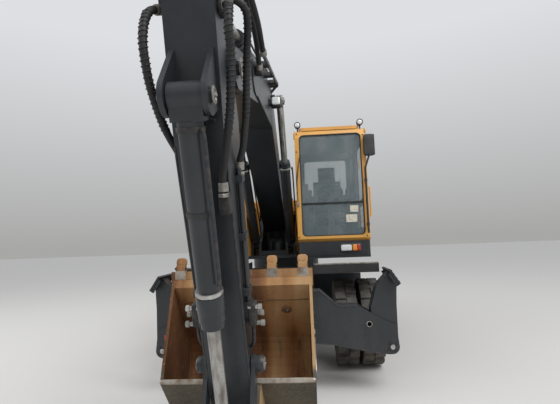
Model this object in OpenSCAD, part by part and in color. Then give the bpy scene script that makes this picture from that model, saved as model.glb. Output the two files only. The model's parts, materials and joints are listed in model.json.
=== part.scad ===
// Wheeled excavator with twin tyres, stabilisers and a dozer blade.
// +Z is up and the ground is z = 0. The boom points along -Y, and the cab stands on the +X side.
// The slewing axis is the line x = 0, y = 0.

/* [Wheels] */
// Radius of a tyre over its lugs
tyre_r = 528; // [500:1:560]
// Width of one tyre
tyre_w = 262; // [240:1:274]
// Gap between the two tyres of a twin wheel
twin_gap = 38; // [30:1:60]
// Seat radius of the rim
rim_r = 254; // [240:1:265]
// Distance from the machine's middle to the middle of a twin wheel
track_half = 957; // [950:1:1000]
// Height of a tyre lug
lug_h = 24; // [10:1:30]
// Number of lugs round a tyre
lug_count = 20; // [12:1:24]

/* [Undercarriage] */
// Place of the steered axle along Y
front_axle_y = -1550; // [-1600:1:-1500]
// Place of the rigid axle along Y
rear_axle_y = 1050; // [1000:1:1100]
// Half width of the chassis frame
frame_half = 330; // [280:1:340]
// Top of the chassis frame
frame_top = 1100; // [1080:1:1120]
// Sideways place of a kingpin
kingpin_x = 620; // [610:1:630]
// Kingpin radius
kingpin_r = 24; // [18:1:30]

/* [Stabilisers] */
// Front face of the stabiliser beam along Y
beam_front_y = -2620; // [-2680:1:-2600]
// Depth of the stabiliser beam along Y
beam_depth = 200; // [190:1:230]
// Thickness of a stabiliser beam plate
beam_plate = 16; // [12:1:20]
// Sideways place of a stabiliser leg's pivot
leg_x = 1190; // [1180:1:1200]
// Height of a stabiliser leg's pivot
leg_z = 470; // [460:1:480]
// Length of a stabiliser's foot along Y
foot_len = 420; // [360:1:440]

/* [Blade] */
// Width of the dozer blade
blade_w = 2460; // [2300:1:2500]
// Height of the dozer blade
blade_h = 560; // [500:1:600]

/* [Upper structure] */
// Radius of the counterweight's tail
tail_r = 2330; // [2300:1:2360]
// Underside of the deck
deck_z = 1320; // [1315:1:1330]
// Thickness of the deck plate
deck_t = 40; // [30:1:45]
// Top of the engine covers
hood_z = 2280; // [2240:1:2320]
// Thickness of a cover panel
cover_t = 30; // [20:1:36]

/* [Cab] */
// Inner side of the cab
cab_x = 250; // [246:1:260]
// Width of the cab
cab_w = 980; // [960:1:990]
// Front of the cab along Y
cab_front_y = -1350; // [-1370:1:-1330]
// Length of the cab
cab_len = 1620; // [1600:1:1640]
// Underside of the cab
cab_z = 1545; // [1540:1:1555]
// Height of the cab to its roof
cab_h = 1575; // [1560:1:1590]
// Thickness of the cab's wall
wall = 60; // [50:1:66]

/* [Boom] */
// Sideways place of the boom's middle plane
boom_x = -150; // [-160:1:-140]
// Boom length from foot pin to tip pin
boom_len = 4590; // [4560:1:4620]
// Width of the boom
boom_w = 360; // [350:1:366]
// Width of the boom's fork outside at its tip
fork_w = 340; // [330:1:350]
// Radius of the boom foot and boom tip pins
main_pin_r = 40; // [30:1:45]
// Sideways offset of the boom cylinders
lift_x = 270; // [268:1:276]
// Outer radius of a boom cylinder
lift_r = 66; // [60:1:68]

/* [Arm] */
// Arm length from boom pin to bucket pin
arm_len = 2180; // [2170:1:2190]
// Width of the arm
arm_w = 260; // [250:1:264]
// Outer radius of the arm cylinder
crowd_r = 68; // [60:1:70]
// Outer radius of the bucket cylinder
curl_r = 62; // [56:1:64]
// Radius of the arm's tip pins
arm_pin_r = 32; // [26:1:36]

/* [Bucket] */
// Width of the bucket
bucket_w = 1090; // [1040:1:1110]
// Thickness of the bucket's shell
shell_t = 22; // [16:1:28]
// Number of teeth
teeth = 5; // [4:1:6]
// Length of a tooth past the cutting edge
tooth_len = 165; // [140:1:180]

/* [Hidden] */
$fn = 48;

// Clearance between pieces that only meet, running clearance of a pin, side clearance of moving plates
fit = 0.3;
pin_fit = 0.1;
side_gap = 6;

// Colours, as the machine shows them
charcoal = [0.23, 0.25, 0.28];
orange = [0.87, 0.6, 0.22];
black = [0.09, 0.09, 0.1];
steel = [0.62, 0.62, 0.6];
rubber = [0.2, 0.2, 0.19];
glass_blue = [0.55, 0.65, 0.7, 0.4];
bare_steel = [0.55, 0.43, 0.32];

// A flat shape drawn in Y and Z and carried from x0 to x1
module side(x0, x1) translate([x0, 0, 0]) rotate([90, 0, 90]) linear_extrude(x1 - x0) children();
// A flat shape drawn in X and Z and carried from y0 to y1
module front(y0, y1) translate([0, y1, 0]) rotate([90, 0, 0]) linear_extrude(y1 - y0) children();
// A flat shape drawn in X and Y and carried from z0 to z1
module plan(z0, z1) translate([0, 0, z0]) linear_extrude(z1 - z0) children();
// A box between two corners
module block(a, b) translate(a) cube(b - a);
// A round bar along X at p = [y, z]
module xbar(p, r, x0, x1) translate([x0, p[0], p[1]]) rotate([0, 90, 0]) cylinder(r = r, h = x1 - x0);
// A round bar along Y at p = [x, z]
module ybar(p, r, y0, y1) translate([p[0], y0, p[1]]) rotate([-90, 0, 0]) cylinder(r = r, h = y1 - y0);
// A round bar between two points
module bar(p, q, r) {
    d = q - p;
    translate(p) rotate([0, acos(d[2] / norm(d)), atan2(d[1], d[0])]) cylinder(r = r, h = norm(d));
}
// Two circles joined by their common tangents
module strap(p, q, rp, rq) {
    d = q - p;
    t = atan2(d[1], d[0]);
    b = acos((rp - rq) / norm(d));
    translate(p) circle(rp);
    translate(q) circle(rq);
    polygon([p + rp * [cos(t + b), sin(t + b)], q + rq * [cos(t + b), sin(t + b)],
        q + rq * [cos(t - b), sin(t - b)], p + rp * [cos(t - b), sin(t - b)]]);
}
// A rectangle with round corners between two corners
module round_rect(a, b, r) {
    polygon([[a[0] + r, a[1]], [b[0] - r, a[1]], [b[0], a[1] + r], [b[0], b[1] - r], [b[0] - r, b[1]],
        [a[0] + r, b[1]], [a[0], b[1] - r], [a[0], a[1] + r]]);
    for (x = [a[0] + r, b[0] - r], y = [a[1] + r, b[1] - r]) translate([x, y]) circle(r);
}
// The same piece on both sides of the machine's middle
module both() {
    children();
    mirror([1, 0, 0]) children();
}
// The same piece on both sides of the boom's middle plane
module boom_both() {
    translate([boom_x, 0, 0]) children();
    translate([boom_x, 0, 0]) mirror([1, 0, 0]) children();
}

// Places on the boom: s runs from the foot pin to the tip pin, h stands upward from that line
boom_foot = [-150, 1850];
boom_angle = 9;
function on_boom(s, h) = boom_foot + s * [-cos(boom_angle), sin(boom_angle)]
    + h * [sin(boom_angle), cos(boom_angle)];
boom_tip = on_boom(boom_len, 0);
// Places on the arm: a runs from the boom pin to the bucket pin, n stands toward the bucket cylinder
arm_lean = 15;
function on_arm(a, n) = boom_tip + a * [sin(arm_lean), -cos(arm_lean)] + n * [-cos(arm_lean), -sin(arm_lean)];
bucket_pin = on_arm(arm_len, 0);
rocker_pin = on_arm(arm_len - 360, 20);
link_pin = on_arm(arm_len + 55, 300);
curl_base = on_arm(190, 495);
crowd_eye = on_arm(-480, 260);
crowd_base = on_boom(2330, 1400);
lift_base = [-600, 1520];
lift_eye = on_boom(2380, 980);
// Places on the bucket: p runs along the mouth from the pin's side to the cutting edge, q goes into the bowl
mouth_angle = 67;
function on_bucket(p, q) = bucket_pin + p * [cos(mouth_angle), sin(mouth_angle)]
    + q * [sin(mouth_angle), -cos(mouth_angle)];
bucket_link_pin = on_bucket(-163, 321);
lip = [180, 20];
edge = [920, 20];

// Hydraulic cylinders: base pin, far pin, outer radius, rod radius and barrel length
gland_l = 90;
piston_l = 50;
cyl_wall = 12;
lift_rod_r = 40;
lift_l = 1560;
crowd_rod_r = 42;
crowd_l = 1540;
curl_rod_r = 37;
curl_l = 1190;
leg_cyl_r = 45;
leg_rod_r = 25;
leg_l = 520;
blade_cyl_r = 48;
blade_rod_r = 28;
blade_l = 420;

// A barrel that starts at its own eye at the origin and runs along +Z. Its eye bore lies along X.
module barrel(l, r, rod, eye_r, eye_w, pin_r) {
    neck = eye_r * 1.6;
    difference() {
        union() {
            translate([0, 0, neck]) cylinder(r = r, h = l - gland_l - neck);
            translate([0, 0, l - gland_l]) cylinder(r = r + 8, h = gland_l * 0.6);
            translate([0, 0, l - gland_l * 0.4]) cylinder(r = r + 2, h = gland_l * 0.4);
            translate([-eye_w / 2, 0, 0]) rotate([0, 90, 0]) cylinder(r = eye_r, h = eye_w);
            translate([-eye_w / 2, -eye_r * 0.75, 0]) cube([eye_w, eye_r * 1.5, neck]);
        }
        translate([-eye_w, 0, 0]) rotate([0, 90, 0]) cylinder(r = pin_r + pin_fit, h = eye_w * 2);
        translate([0, 0, neck + cyl_wall]) cylinder(r = r - cyl_wall, h = l - gland_l - neck - cyl_wall);
        translate([0, 0, l - gland_l - 1]) cylinder(r = rod + pin_fit, h = gland_l + 2);
    }
}
// A rod whose eye is at the origin. It runs along -Z into its barrel, and its piston rides in the barrel's bore.
module rod(l, r, bore_r, eye_r, eye_w, cap_r) {
    translate([0, 0, -l]) cylinder(r = r, h = l);
    translate([0, 0, -l]) cylinder(r = bore_r - pin_fit, h = piston_l);
    translate([-eye_w / 2, 0, 0]) rotate([0, 90, 0]) cylinder(r = eye_r, h = eye_w);
    translate([-eye_w / 2 - cap_r, 0, 0]) rotate([0, 90, 0]) cylinder(r = eye_r * 0.6, h = eye_w + cap_r * 2);
}
// Turns a piece drawn along +Z at the origin so that it runs from p to q at x
module aim(p, q, x) {
    d = q - p;
    translate([x, p[0], p[1]]) rotate([atan2(-d[0], d[1]), 0, 0]) children();
}
// The same for a rod, whose eye is at q
module aim_end(p, q, x) {
    d = q - p;
    translate([x, q[0], q[1]]) rotate([atan2(-d[0], d[1]), 0, 0]) children();
}
// The same for a cylinder that lies in X and Z at y, with its eye bore along Y
module aim_xz(p, q, y) {
    d = q - p;
    translate([p[0], y, p[1]]) rotate([0, atan2(d[0], d[1]), 0]) rotate([0, 0, 90]) children();
}
module aim_xz_end(p, q, y) {
    d = q - p;
    translate([q[0], y, q[1]]) rotate([0, atan2(d[0], d[1]), 0]) rotate([0, 0, 90]) children();
}

// Undercarriage
axle_z = tyre_r;
axle_seat_z = 760;
ring_out = 560;
ring_in = 360;
ring_gap_z = 1165;
module chassis_frame() color(charcoal) {
    side(-frame_half, frame_half) polygon([[beam_rear_y, 640], [-1850, 640], [front_axle_y - 240, axle_seat_z],
        [front_axle_y + 240, axle_seat_z], [-1200, 560], [600, 560], [rear_axle_y - 240, axle_seat_z],
        [rear_axle_y + 240, axle_seat_z], [1380, 640], [frame_rear_y, 640], [frame_rear_y, 960], [1300, 1000],
        [700, frame_top], [-1000, frame_top], [-1500, 1010], [beam_rear_y, 900]]);
    translate([0, 0, frame_top - 40]) cylinder(r = ring_out + 30, h = 40);
    both() for (y = [-420, 380]) block([frame_half - 1, y, 800], [step_in - fit, y + 60, 900]);
    blade_lugs();
}
frame_rear_y = 1700;
beam_rear_y = beam_front_y + beam_depth;
step_in = 450;
step_top = frame_top - 45;

module slew_ring() color(steel) difference() {
    union() {
        translate([0, 0, frame_top]) cylinder(r = ring_out, h = 26);
        translate([0, 0, frame_top + 26]) cylinder(r = ring_out - 30, h = ring_gap_z - frame_top - 26);
    }
    translate([0, 0, frame_top - 1]) cylinder(r = ring_in, h = ring_gap_z - frame_top + 2);
}

// An axle housing: a beam with a differential in its middle and a seat under the frame
module axle_housing(y, half) {
    xbar([y, axle_z], 98, -half, half);
    both() translate([130, y, axle_z]) rotate([0, 90, 0]) cylinder(r1 = diff_r, r2 = 110, h = 190);
    xbar([y, axle_z], diff_r, -131, 131);
    block([-150, y - 110, axle_z], [150, y + 110, axle_seat_z]);
}
diff_r = 205;
fork_in = 120;
fork_out = 172;
fork_x = 530;
module front_axle() color(charcoal) difference() {
    union() {
        axle_housing(front_axle_y, fork_x - 20);
        both() {
            block([fork_x - 60, front_axle_y - 85, axle_z - fork_out], [fork_x, front_axle_y + 85, axle_z + fork_out]);
            for (z = [-fork_out, fork_in]) plan(axle_z + z, axle_z + z + fork_out - fork_in)
                strap([fork_x - 10, front_axle_y], [kingpin_x, front_axle_y], 85, 62);
        }
    }
    both() translate([kingpin_x, front_axle_y, axle_z - fork_out - 1])
        cylinder(r = kingpin_r + pin_fit, h = fork_out * 2 + 2);
}
module rear_axle() color(charcoal) {
    axle_housing(rear_axle_y, 560);
    both() {
        xbar([rear_axle_y, axle_z], 110, 555, hub_in - side_gap);
        xbar([rear_axle_y, axle_z], spindle_r, hub_in - side_gap, spindle_x);
        for (s = [-1, 1]) block([300, rear_axle_y + s * 70 - 25, axle_z + 60], [frame_half, rear_axle_y + s * 70 + 25, axle_seat_z]);
    }
}
module driveline() color(steel) {
    block([-130, -160, 400], [130, 260, 560]);
    bar([0, -160, 480], [0, front_axle_y + diff_r + 2, axle_z - 20], 42);
    bar([0, 260, 480], [0, rear_axle_y - diff_r - 2, axle_z - 20], 42);
}

// Steered knuckle on the +X side
spindle_r = 58;
spindle_x = 930;
hub_in = 716;
module knuckle() {
    translate([kingpin_x, front_axle_y, axle_z - fork_in + side_gap]) cylinder(r = 62, h = 2 * (fork_in - side_gap));
    translate([kingpin_x, front_axle_y, axle_z - fork_out + 8]) cylinder(r = kingpin_r, h = 2 * (fork_out - 8));
    xbar([front_axle_y, axle_z], 92, kingpin_x, kingpin_x + 42);
    xbar([front_axle_y, axle_z], 106, kingpin_x + 40, hub_in - side_gap);
    xbar([front_axle_y, axle_z], spindle_r, hub_in - side_gap, spindle_x);
}
module knuckle_left() color(charcoal) knuckle();
module knuckle_right() color(charcoal) mirror([1, 0, 0]) knuckle();

// Twin wheel on the +X side. Each profile is drawn as radius and place along X, and turned about the axle.
tyre_in = track_half - twin_gap / 2 - tyre_w;
tyre_mid = [track_half - (twin_gap + tyre_w) / 2, track_half + (twin_gap + tyre_w) / 2];
bead_half = 100;
rim_t = 14;
module turned(y) translate([0, y, axle_z]) rotate([0, 90, 0]) rotate_extrude() children();
module rims(y) difference() {
    union() {
        turned(y) {
            translate([rim_r - rim_t, tyre_mid[0] - bead_half - 12])
                square([rim_t, tyre_mid[1] - tyre_mid[0] + 2 * bead_half + 24]);
            for (c = tyre_mid, s = [-1, 1]) translate([rim_r - rim_t, c + s * (bead_half + 6) - 5.5]) square([rim_t + 22, 11]);
            polygon([[spindle_r + pin_fit, hub_in], [150, hub_in], [150, track_half - 40], [rim_r - rim_t + 1, track_half - 12],
                [rim_r - rim_t + 1, track_half + 12], [145, track_half + 12], [120, track_half + 120],
                [60, track_half + 150], [0, track_half + 150], [0, spindle_x + side_gap],
                [spindle_r + pin_fit, spindle_x + side_gap]]);
        }
    }
    for (a = [0:45:315]) translate([track_half - 60, y, axle_z]) rotate([a, 0, 0]) translate([0, 195, 0])
        rotate([0, 90, 0]) cylinder(r = 24, h = 120);
}
lug_root = tyre_r - lug_h - 9;
// Outline of a row of lugs, seen along the axle
module lug_ring(turn) difference() {
    polygon([for (i = [0:lug_count - 1], k = [[-0.34, 0], [-0.27, 1], [0.27, 1], [0.34, 0]])
        let (t = (i + turn + k[0]) * 360 / lug_count, r = lug_root + k[1] * (tyre_r - lug_root)) r * [cos(t), sin(t)]]);
    circle(lug_root - 60);
}
module tyre(c, y) {
    turned(y) translate([0, c]) polygon([[rim_r + fit, -bead_half + 2], [rim_r + 26, -bead_half + 2],
        [rim_r + 50, -tyre_w / 2 + 12], [rim_r + 110, -tyre_w / 2], [rim_r + 160, -tyre_w / 2],
        [tyre_r - lug_h - 12, -tyre_w / 2 + 16], [tyre_r - lug_h, -tyre_w / 2 + 30],
        [tyre_r - lug_h, tyre_w / 2 - 30], [tyre_r - lug_h - 12, tyre_w / 2 - 16], [rim_r + 160, tyre_w / 2],
        [rim_r + 110, tyre_w / 2], [rim_r + 50, tyre_w / 2 - 12], [rim_r + 26, bead_half - 2],
        [rim_r + fit, bead_half - 2]]);
    for (s = [0, 1]) translate([c - s * (tyre_w / 2 - 8) + (1 - s) * 8, y, axle_z]) rotate([0, 90, 0])
        linear_extrude(tyre_w / 2 - 16) lug_ring(s / 2);
}
module tyres(y) for (c = tyre_mid) tyre(c, y);
module rims_front_left() color(orange) rims(front_axle_y);
module rims_front_right() color(orange) mirror([1, 0, 0]) rims(front_axle_y);
module rims_rear_left() color(orange) rims(rear_axle_y);
module rims_rear_right() color(orange) mirror([1, 0, 0]) rims(rear_axle_y);
module tyres_front_left() color(rubber) tyres(front_axle_y);
module tyres_front_right() color(rubber) mirror([1, 0, 0]) tyres(front_axle_y);
module tyres_rear_left() color(rubber) tyres(rear_axle_y);
module tyres_rear_right() color(rubber) mirror([1, 0, 0]) tyres(rear_axle_y);

// Boxes and steps between the wheels, and the mudguards over the steered wheels
module side_steps() color(charcoal) both() {
    block([step_in, -690, 640], [1150, 440, step_top]);
    for (y = [-420, 100]) {
        side(1149, 1160) polygon([[y - 6, 640], [y - 6, 470], [y + 6, 470], [y + 6, 640]]);
        side(1149, 1160) polygon([[y + 300, 640], [y + 300, 470], [y + 312, 470], [y + 312, 640]]);
        block([1149, y - 6, 455], [1230, y + 312, 475]);
    }
}
module fenders() color(black) both() {
    block([440, -2090, 1180], [1190, -1060, 1190]);
    block([440, -2100, 1180], [1190, -2090, 1285]);
    block([430, -2100, 1170], [440, -1060, 1285]);
    for (y = [-1300, -1950]) block([frame_half, y, 940], [380, y + 60, 1000]);
    for (y = [-1300, -1950]) block([370, y, 940], [431, y + 60, 1200]);
}

// Stabilisers at the front end. The legs stand folded, and turn down about leg_pin.
leg_pin = [leg_x, leg_z];
leg_lever = [1051, 550];
leg_base = [420, 710];
leg_y = beam_front_y + beam_depth / 2;
leg_pin_r = 25;
module beam_outline() {
    polygon([[0, 1050], [480, 1050], [660, 890], [870, 885], [1120, 740], [1240, 690], [1262, leg_z],
        [1190, 396], [1090, 400], [570, 500], [0, 540]]);
    translate(leg_pin) circle(72);
}
module stabiliser_beam() color(charcoal) {
    both() {
        difference() {
            union() {
                for (y = [beam_front_y, beam_rear_y - beam_plate]) front(y, y + beam_plate) beam_outline();
                front(beam_front_y, beam_rear_y) {
                    polygon([[0, 1050], [480, 1050], [660, 890], [870, 885], [870, 871], [654, 875], [472, 1034], [0, 1034]]);
                    polygon([[0, 540], [570, 500], [880, 440], [880, 456], [572, 516], [0, 556]]);
                    polygon([[300, 530], [316, 530], [316, 1040], [300, 1040]]);
                }
            }
            ybar([970, 700], 22, beam_front_y - 1, beam_front_y + beam_plate + 1);
        }
        ybar(leg_pin, leg_pin_r, beam_front_y - 14, beam_rear_y);
        ybar(leg_base, leg_pin_r, beam_front_y - 8, beam_rear_y);
    }
}
leg_plate = 18;
leg_in = beam_depth / 2 - beam_plate - side_gap;
module leg() {
    difference() {
        for (y = [leg_y - leg_in, leg_y + leg_in - leg_plate]) front(y, y + leg_plate) {
            polygon([[1135, 430], [1051, 500], [1003, 540], [997, 855], [1068, 1087], [1211, 1233], [1274, 1135],
                [1260, 900], [1256, 500]]);
            translate(leg_pin) circle(66);
            translate(leg_lever) circle(50);
        }
        ybar(leg_pin, leg_pin_r + pin_fit, leg_y - leg_in - 1, leg_y + leg_in + 1);
    }
    front(leg_y - leg_in, leg_y + leg_in) {
        polygon([[997, 855], [1068, 1087], [1211, 1233], [1222, 1216], [1082, 1078], [1012, 851]]);
        polygon([[1274, 1135], [1260, 900], [1258, 700], [1242, 700], [1244, 900], [1258, 1135]]);
    }
    front(leg_y - foot_len / 2, leg_y + foot_len / 2)
        polygon([[1196, 1255], [1289, 1111], [1272, 1100], [1179, 1244]]);
}
module leg_left() color(charcoal) leg();
module leg_right() color(charcoal) mirror([1, 0, 0]) leg();
module leg_barrel() aim_xz(leg_base, leg_lever, leg_y) barrel(leg_l, leg_cyl_r, leg_rod_r, 42, 90, leg_pin_r);
module leg_rod() aim_xz_end(leg_base, leg_lever, leg_y)
    rod(norm(leg_lever - leg_base) - leg_l + gland_l + piston_l + 288, leg_rod_r, leg_cyl_r - cyl_wall, 42, 104, 4);
module leg_barrel_left() color(charcoal) leg_barrel();
module leg_barrel_right() color(charcoal) mirror([1, 0, 0]) leg_barrel();
module leg_rod_left() color(steel) leg_rod();
module leg_rod_right() color(steel) mirror([1, 0, 0]) leg_rod();

// Dozer blade at the rear end
blade_pin = [1760, 600];
blade_base = [1830, 1040];
blade_eye = [2080, 520];
blade_arm_x = 300;
blade_cyl_x = 140;
blade_lug_in = blade_cyl_r + side_gap;
blade_foot_z = 330;
blade_y = 2290;
blade_pin_r = 26;
module blade_lugs() both() {
    for (x = [blade_arm_x - 50, blade_arm_x + 28]) side(x, x + 22) strap([frame_rear_y - 60, 700], blade_pin, 60, 50);
    for (x = [-blade_lug_in - 16, blade_lug_in]) side(blade_cyl_x + x, blade_cyl_x + x + 16) strap([frame_rear_y - 60, 880], blade_base, 70, 44);
    xbar(blade_pin, blade_pin_r, blade_arm_x - 56, blade_arm_x + 56);
    xbar(blade_base, blade_pin_r, blade_cyl_x - blade_lug_in - 20, blade_cyl_x + blade_lug_in + 20);
}
module blade() color(charcoal) {
    side(-blade_w / 2, blade_w / 2) polygon([[blade_y - 110, blade_foot_z], [blade_y - 28, blade_foot_z - 20],
        [blade_y, blade_foot_z], [blade_y - 70, 500], [blade_y - 80, 700], [blade_y - 30, blade_foot_z + blade_h],
        [blade_y - 55, blade_foot_z + blade_h + 6], [blade_y - 115, 700], [blade_y - 115, 480]]);
    both() {
        difference() {
            side(blade_arm_x - 22, blade_arm_x + 22) {
                strap(blade_pin, [blade_y - 140, 560], 48, 90);
                polygon([[blade_y - 190, 560], [blade_y - 110, 470], [blade_y - 110, 800], [blade_y - 140, 800]]);
            }
            xbar(blade_pin, blade_pin_r + pin_fit, blade_arm_x - 30, blade_arm_x + 30);
        }
        for (x = [-blade_lug_in - 16, blade_lug_in]) side(blade_cyl_x + x, blade_cyl_x + x + 16)
            strap(blade_eye, [blade_y - 130, 520], 40, 55);
    }
    block([-blade_arm_x, blade_y - 144, 470], [blade_arm_x, blade_y - 110, 600]);
}
module blade_barrels() color(charcoal) both() aim(blade_base, blade_eye, blade_cyl_x)
    barrel(blade_l, blade_cyl_r, blade_rod_r, 38, 2 * blade_cyl_r, blade_pin_r);
module blade_rods() color(steel) both() aim_end(blade_base, blade_eye, blade_cyl_x)
    rod(norm(blade_eye - blade_base) - blade_l + gland_l + piston_l + 160, blade_rod_r, blade_cyl_r - cyl_wall, 36, 90, 3);

// Upper structure
rail_in = boom_w / 2 + side_gap;
rail_t = 40;
lift_eye_w = 70;
lift_cap = 14;
lift_boss = lift_x - lift_eye_w / 2 - lift_cap - 2;
deck_top = deck_z + deck_t;
lift_pin_r = 34;
cab_back = cab_front_y + cab_len;
body_y = 330;
weight_y = 1500;
body_x = 1210;
centre_x = [-560, 230];
centre_front_y = -900;
deck_back_y = 1980;
// Centre section: the seat of the slewing ring with the two webs that carry the boom
module turntable_frame() color(charcoal) {
    difference() {
        union() {
            translate([0, 0, ring_gap_z + fit]) cylinder(r = ring_out - 18, h = deck_z - ring_gap_z - fit);
            block([centre_x[0], centre_front_y, deck_z], [centre_x[1], deck_back_y, deck_top]);
        }
        translate([0, 0, ring_gap_z - 1]) cylinder(r = ring_in - 30, h = deck_z - ring_gap_z + 1);
    }
    boom_both() difference() {
        side(rail_in, rail_in + rail_t) {
            polygon([[lift_base[0] - 72, deck_top - 1], [560, deck_top - 1], [420, 1560], [30, 1900],
                [boom_foot[0] - 80, 1925], [-440, 1690], [-530, 1592], [lift_base[0], lift_base[1] + 72],
                [lift_base[0] - 72, lift_base[1]]]);
            translate(boom_foot) circle(120);
            translate(lift_base) circle(72);
        }
    }
    boom_both() {
        xbar(boom_foot, main_pin_r, 0, rail_in + rail_t + 14);
        xbar(lift_base, lift_pin_r, rail_in, lift_x + lift_eye_w / 2 + 34);
        side(lift_x + lift_eye_w / 2 + 6, lift_x + lift_eye_w / 2 + 28) {
            polygon([[lift_base[0] - 72, deck_top - 1], [-440, deck_top - 1], [-530, 1530],
                [lift_base[0] - 72, lift_base[1]]]);
            translate(lift_base) circle(72);
        }
        side(0, rail_in + 1) polygon([[200, deck_top - 1], [230, deck_top - 1], [230, 1600], [200, 1600]]);
        side(0, rail_in + 1) polygon([[-660, deck_top - 1], [-630, deck_top - 1], [-630, 1430], [-660, 1430]]);
    }
}
// Decks beside the centre section, with the skirt under the cab
module side_decks() color(charcoal) {
    plan(deck_z + fit, deck_top) {
        polygon([[-body_x, -1080], [centre_x[0] - fit, -1120], [centre_x[0] - fit, deck_back_y],
            [-900, deck_back_y], [-body_x, weight_y]]);
        polygon([[centre_x[1] + fit, centre_front_y], [cab_x, cab_front_y + 10], [cab_x + cab_w - 10, cab_front_y + 10],
            [body_x, 300], [body_x, weight_y], [900, deck_back_y], [centre_x[1] + fit, deck_back_y]]);
    }
    difference() {
        plan(deck_top - 1, cab_z - fit) round_rect([cab_x + 4, cab_front_y + 2],
            [cab_x + cab_w - 4, cab_back - 4], 50);
        plan(deck_top, cab_z - 20) round_rect([cab_x + 24, cab_front_y + 22], [cab_x + cab_w - 24, cab_back - 24], 40);
    }
}
module counterweight() color(orange) intersection() {
    difference() {
        translate([0, 0, deck_top]) cylinder(r = tail_r, h = 900, $fn = 64);
        translate([0, 0, deck_top + 620]) rotate_extrude($fn = 64)
            polygon([[tail_r + 10, -1], [tail_r + 10, 300], [tail_r - 230, 300]]);
    }
    block([-body_x, weight_y + 4, deck_z], [body_x, tail_r + 10, deck_top + 850]);
}
module engine_block() color(black) block([-780, 760, deck_top], [560, 1340, 2060]);
// Hollow covers: the engine bay across the back, and the body on the far side of the boom
bay_y = 720;
side_body_x = -500;
side_body_z = 2240;
module body_covers() color(orange) {
    cover_panels();
    for (x = hood_arm_x) {
        for (c = [x - side_gap - 10, x + hood_arm_w + side_gap]) side(c, c + 10) strap(hood_pin, hood_pin - [0, 30], 16, 16);
        xbar(hood_pin, hood_pin_r, x - side_gap - 14, x + hood_arm_w + side_gap + 14);
    }
}
module cover_panels() difference() {
    union() {
        block([-body_x, body_y, deck_top + fit], [body_x, weight_y, hood_z]);
        side(-body_x, side_body_x) polygon([[-1060, deck_top + fit], [body_y + 1, deck_top + fit],
            [body_y + 1, side_body_z], [-900, side_body_z], [-1030, 2120], [-1060, 1900]]);
    }
    block([-body_x + cover_t, body_y + cover_t, deck_z], [body_x - cover_t, weight_y - cover_t, hood_z - cover_t]);
    side(-body_x + cover_t, side_body_x - cover_t) polygon([[-1030, deck_z], [body_y + cover_t + 1, deck_z],
        [body_y + cover_t + 1, side_body_z - cover_t], [-890, side_body_z - cover_t], [-1002, 2110], [-1030, 1890]]);
    block([side_body_x + cover_t, 300, deck_z], [cab_x - 80, body_y + cover_t + 1, 2100]);
    block([hood_x0 - hood_gap, hood_y0 - hood_gap, hood_z - cover_t - 1],
        [hood_x1 + hood_gap, hood_y1 + hood_gap, hood_z + 1]);
    for (i = [0:7]) block([body_x - cover_t - 1, 900, 1560 + i * 60], [body_x + 1, 1340, 1590 + i * 60]);
    for (i = [0:7]) block([-body_x - 1, 900, 1560 + i * 60], [-body_x + cover_t + 1, 1340, 1590 + i * 60]);
}
hood_x0 = -760;
hood_x1 = 860;
hood_y0 = 620;
hood_y1 = 1440;
hood_gap = 8;
hood_pin = [weight_y - 24, hood_z + 22];
hood_pin_r = 7;
hood_arm_x = [-600, 640];
hood_arm_w = 60;
module hood() color(orange) {
    difference() {
        block([hood_x0, hood_y0, hood_z - cover_t + 1], [hood_x1, hood_y1, hood_z + 40]);
        block([hood_x0 + cover_t, hood_y0 + cover_t, hood_z - cover_t], [hood_x1 - cover_t, hood_y1 - cover_t, hood_z + 40 - 18]);
        for (i = [0:9]) block([-420 + i * 70, 760, hood_z], [-385 + i * 70, 1240, hood_z + 60]);
    }
    for (x = hood_arm_x) difference() {
        side(x, x + hood_arm_w) strap(hood_pin, [hood_y1 - 20, hood_z + 22], 15, 15);
        xbar(hood_pin, hood_pin_r + pin_fit, x - 1, x + hood_arm_w + 1);
    }
}
module exhaust() color(black) {
    translate([-960, 1100, hood_z]) cylinder(r = 62, h = 90);
    translate([-960, 1100, hood_z + 90]) cylinder(r = 52, h = 330);
    bar([-960, 1100, hood_z + 400], [-960, 1230, hood_z + 500], 48);
}
module swing_motor() color(charcoal) {
    translate([boom_x + 60, -420, deck_top]) {
        cylinder(r = 116, h = 90);
        translate([0, 0, 90]) cylinder(r = 100, h = 100);
        translate([0, 0, 190]) cylinder(r1 = 100, r2 = 60, h = 45);
    }
    block([boom_x - 120, -120, deck_top], [boom_x + 120, 150, deck_top + 240]);
    for (x = [-90:60:90]) bar([boom_x + x, -20, deck_top + 239], [boom_x + x, -20, deck_top + 290], 20);
}

// Cab: a shell with its windows cut, and a door hinged at its rear edge
roof_z = cab_z + cab_h;
cab_out = cab_x + cab_w;
glass_t = 6;
front_glass = [[cab_x + 62, cab_z + 75], [cab_out - 62, roof_z - 85]];
glass_split_z = 2070;
door_y = [cab_front_y + 70, cab_front_y + 960];
door_z = [cab_z + 50, roof_z - 95];
door_gap = 8;
door_hinge = [cab_out + 22, door_y[1] + 6];
side_glass = [[door_y[1] + 110, 2260], [cab_back - 90, roof_z - 130]];
far_glass = [[cab_front_y + 130, 2000], [cab_back - 110, roof_z - 130]];
rear_glass = [[cab_x + 110, 2330], [cab_out - 110, roof_z - 150]];
module cab_side_shape(t) {
    polygon([[cab_front_y + t, cab_z + t + 40], [cab_front_y + t + 40, cab_z + t], [cab_back - t, cab_z + t],
        [cab_back - t, roof_z - t - 120], [cab_back - t - 110, roof_z - t], [cab_front_y + t + 120, roof_z - t],
        [cab_front_y + t + 30, roof_z - t - 35], [cab_front_y + t, roof_z - t - 120]]);
}
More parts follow.
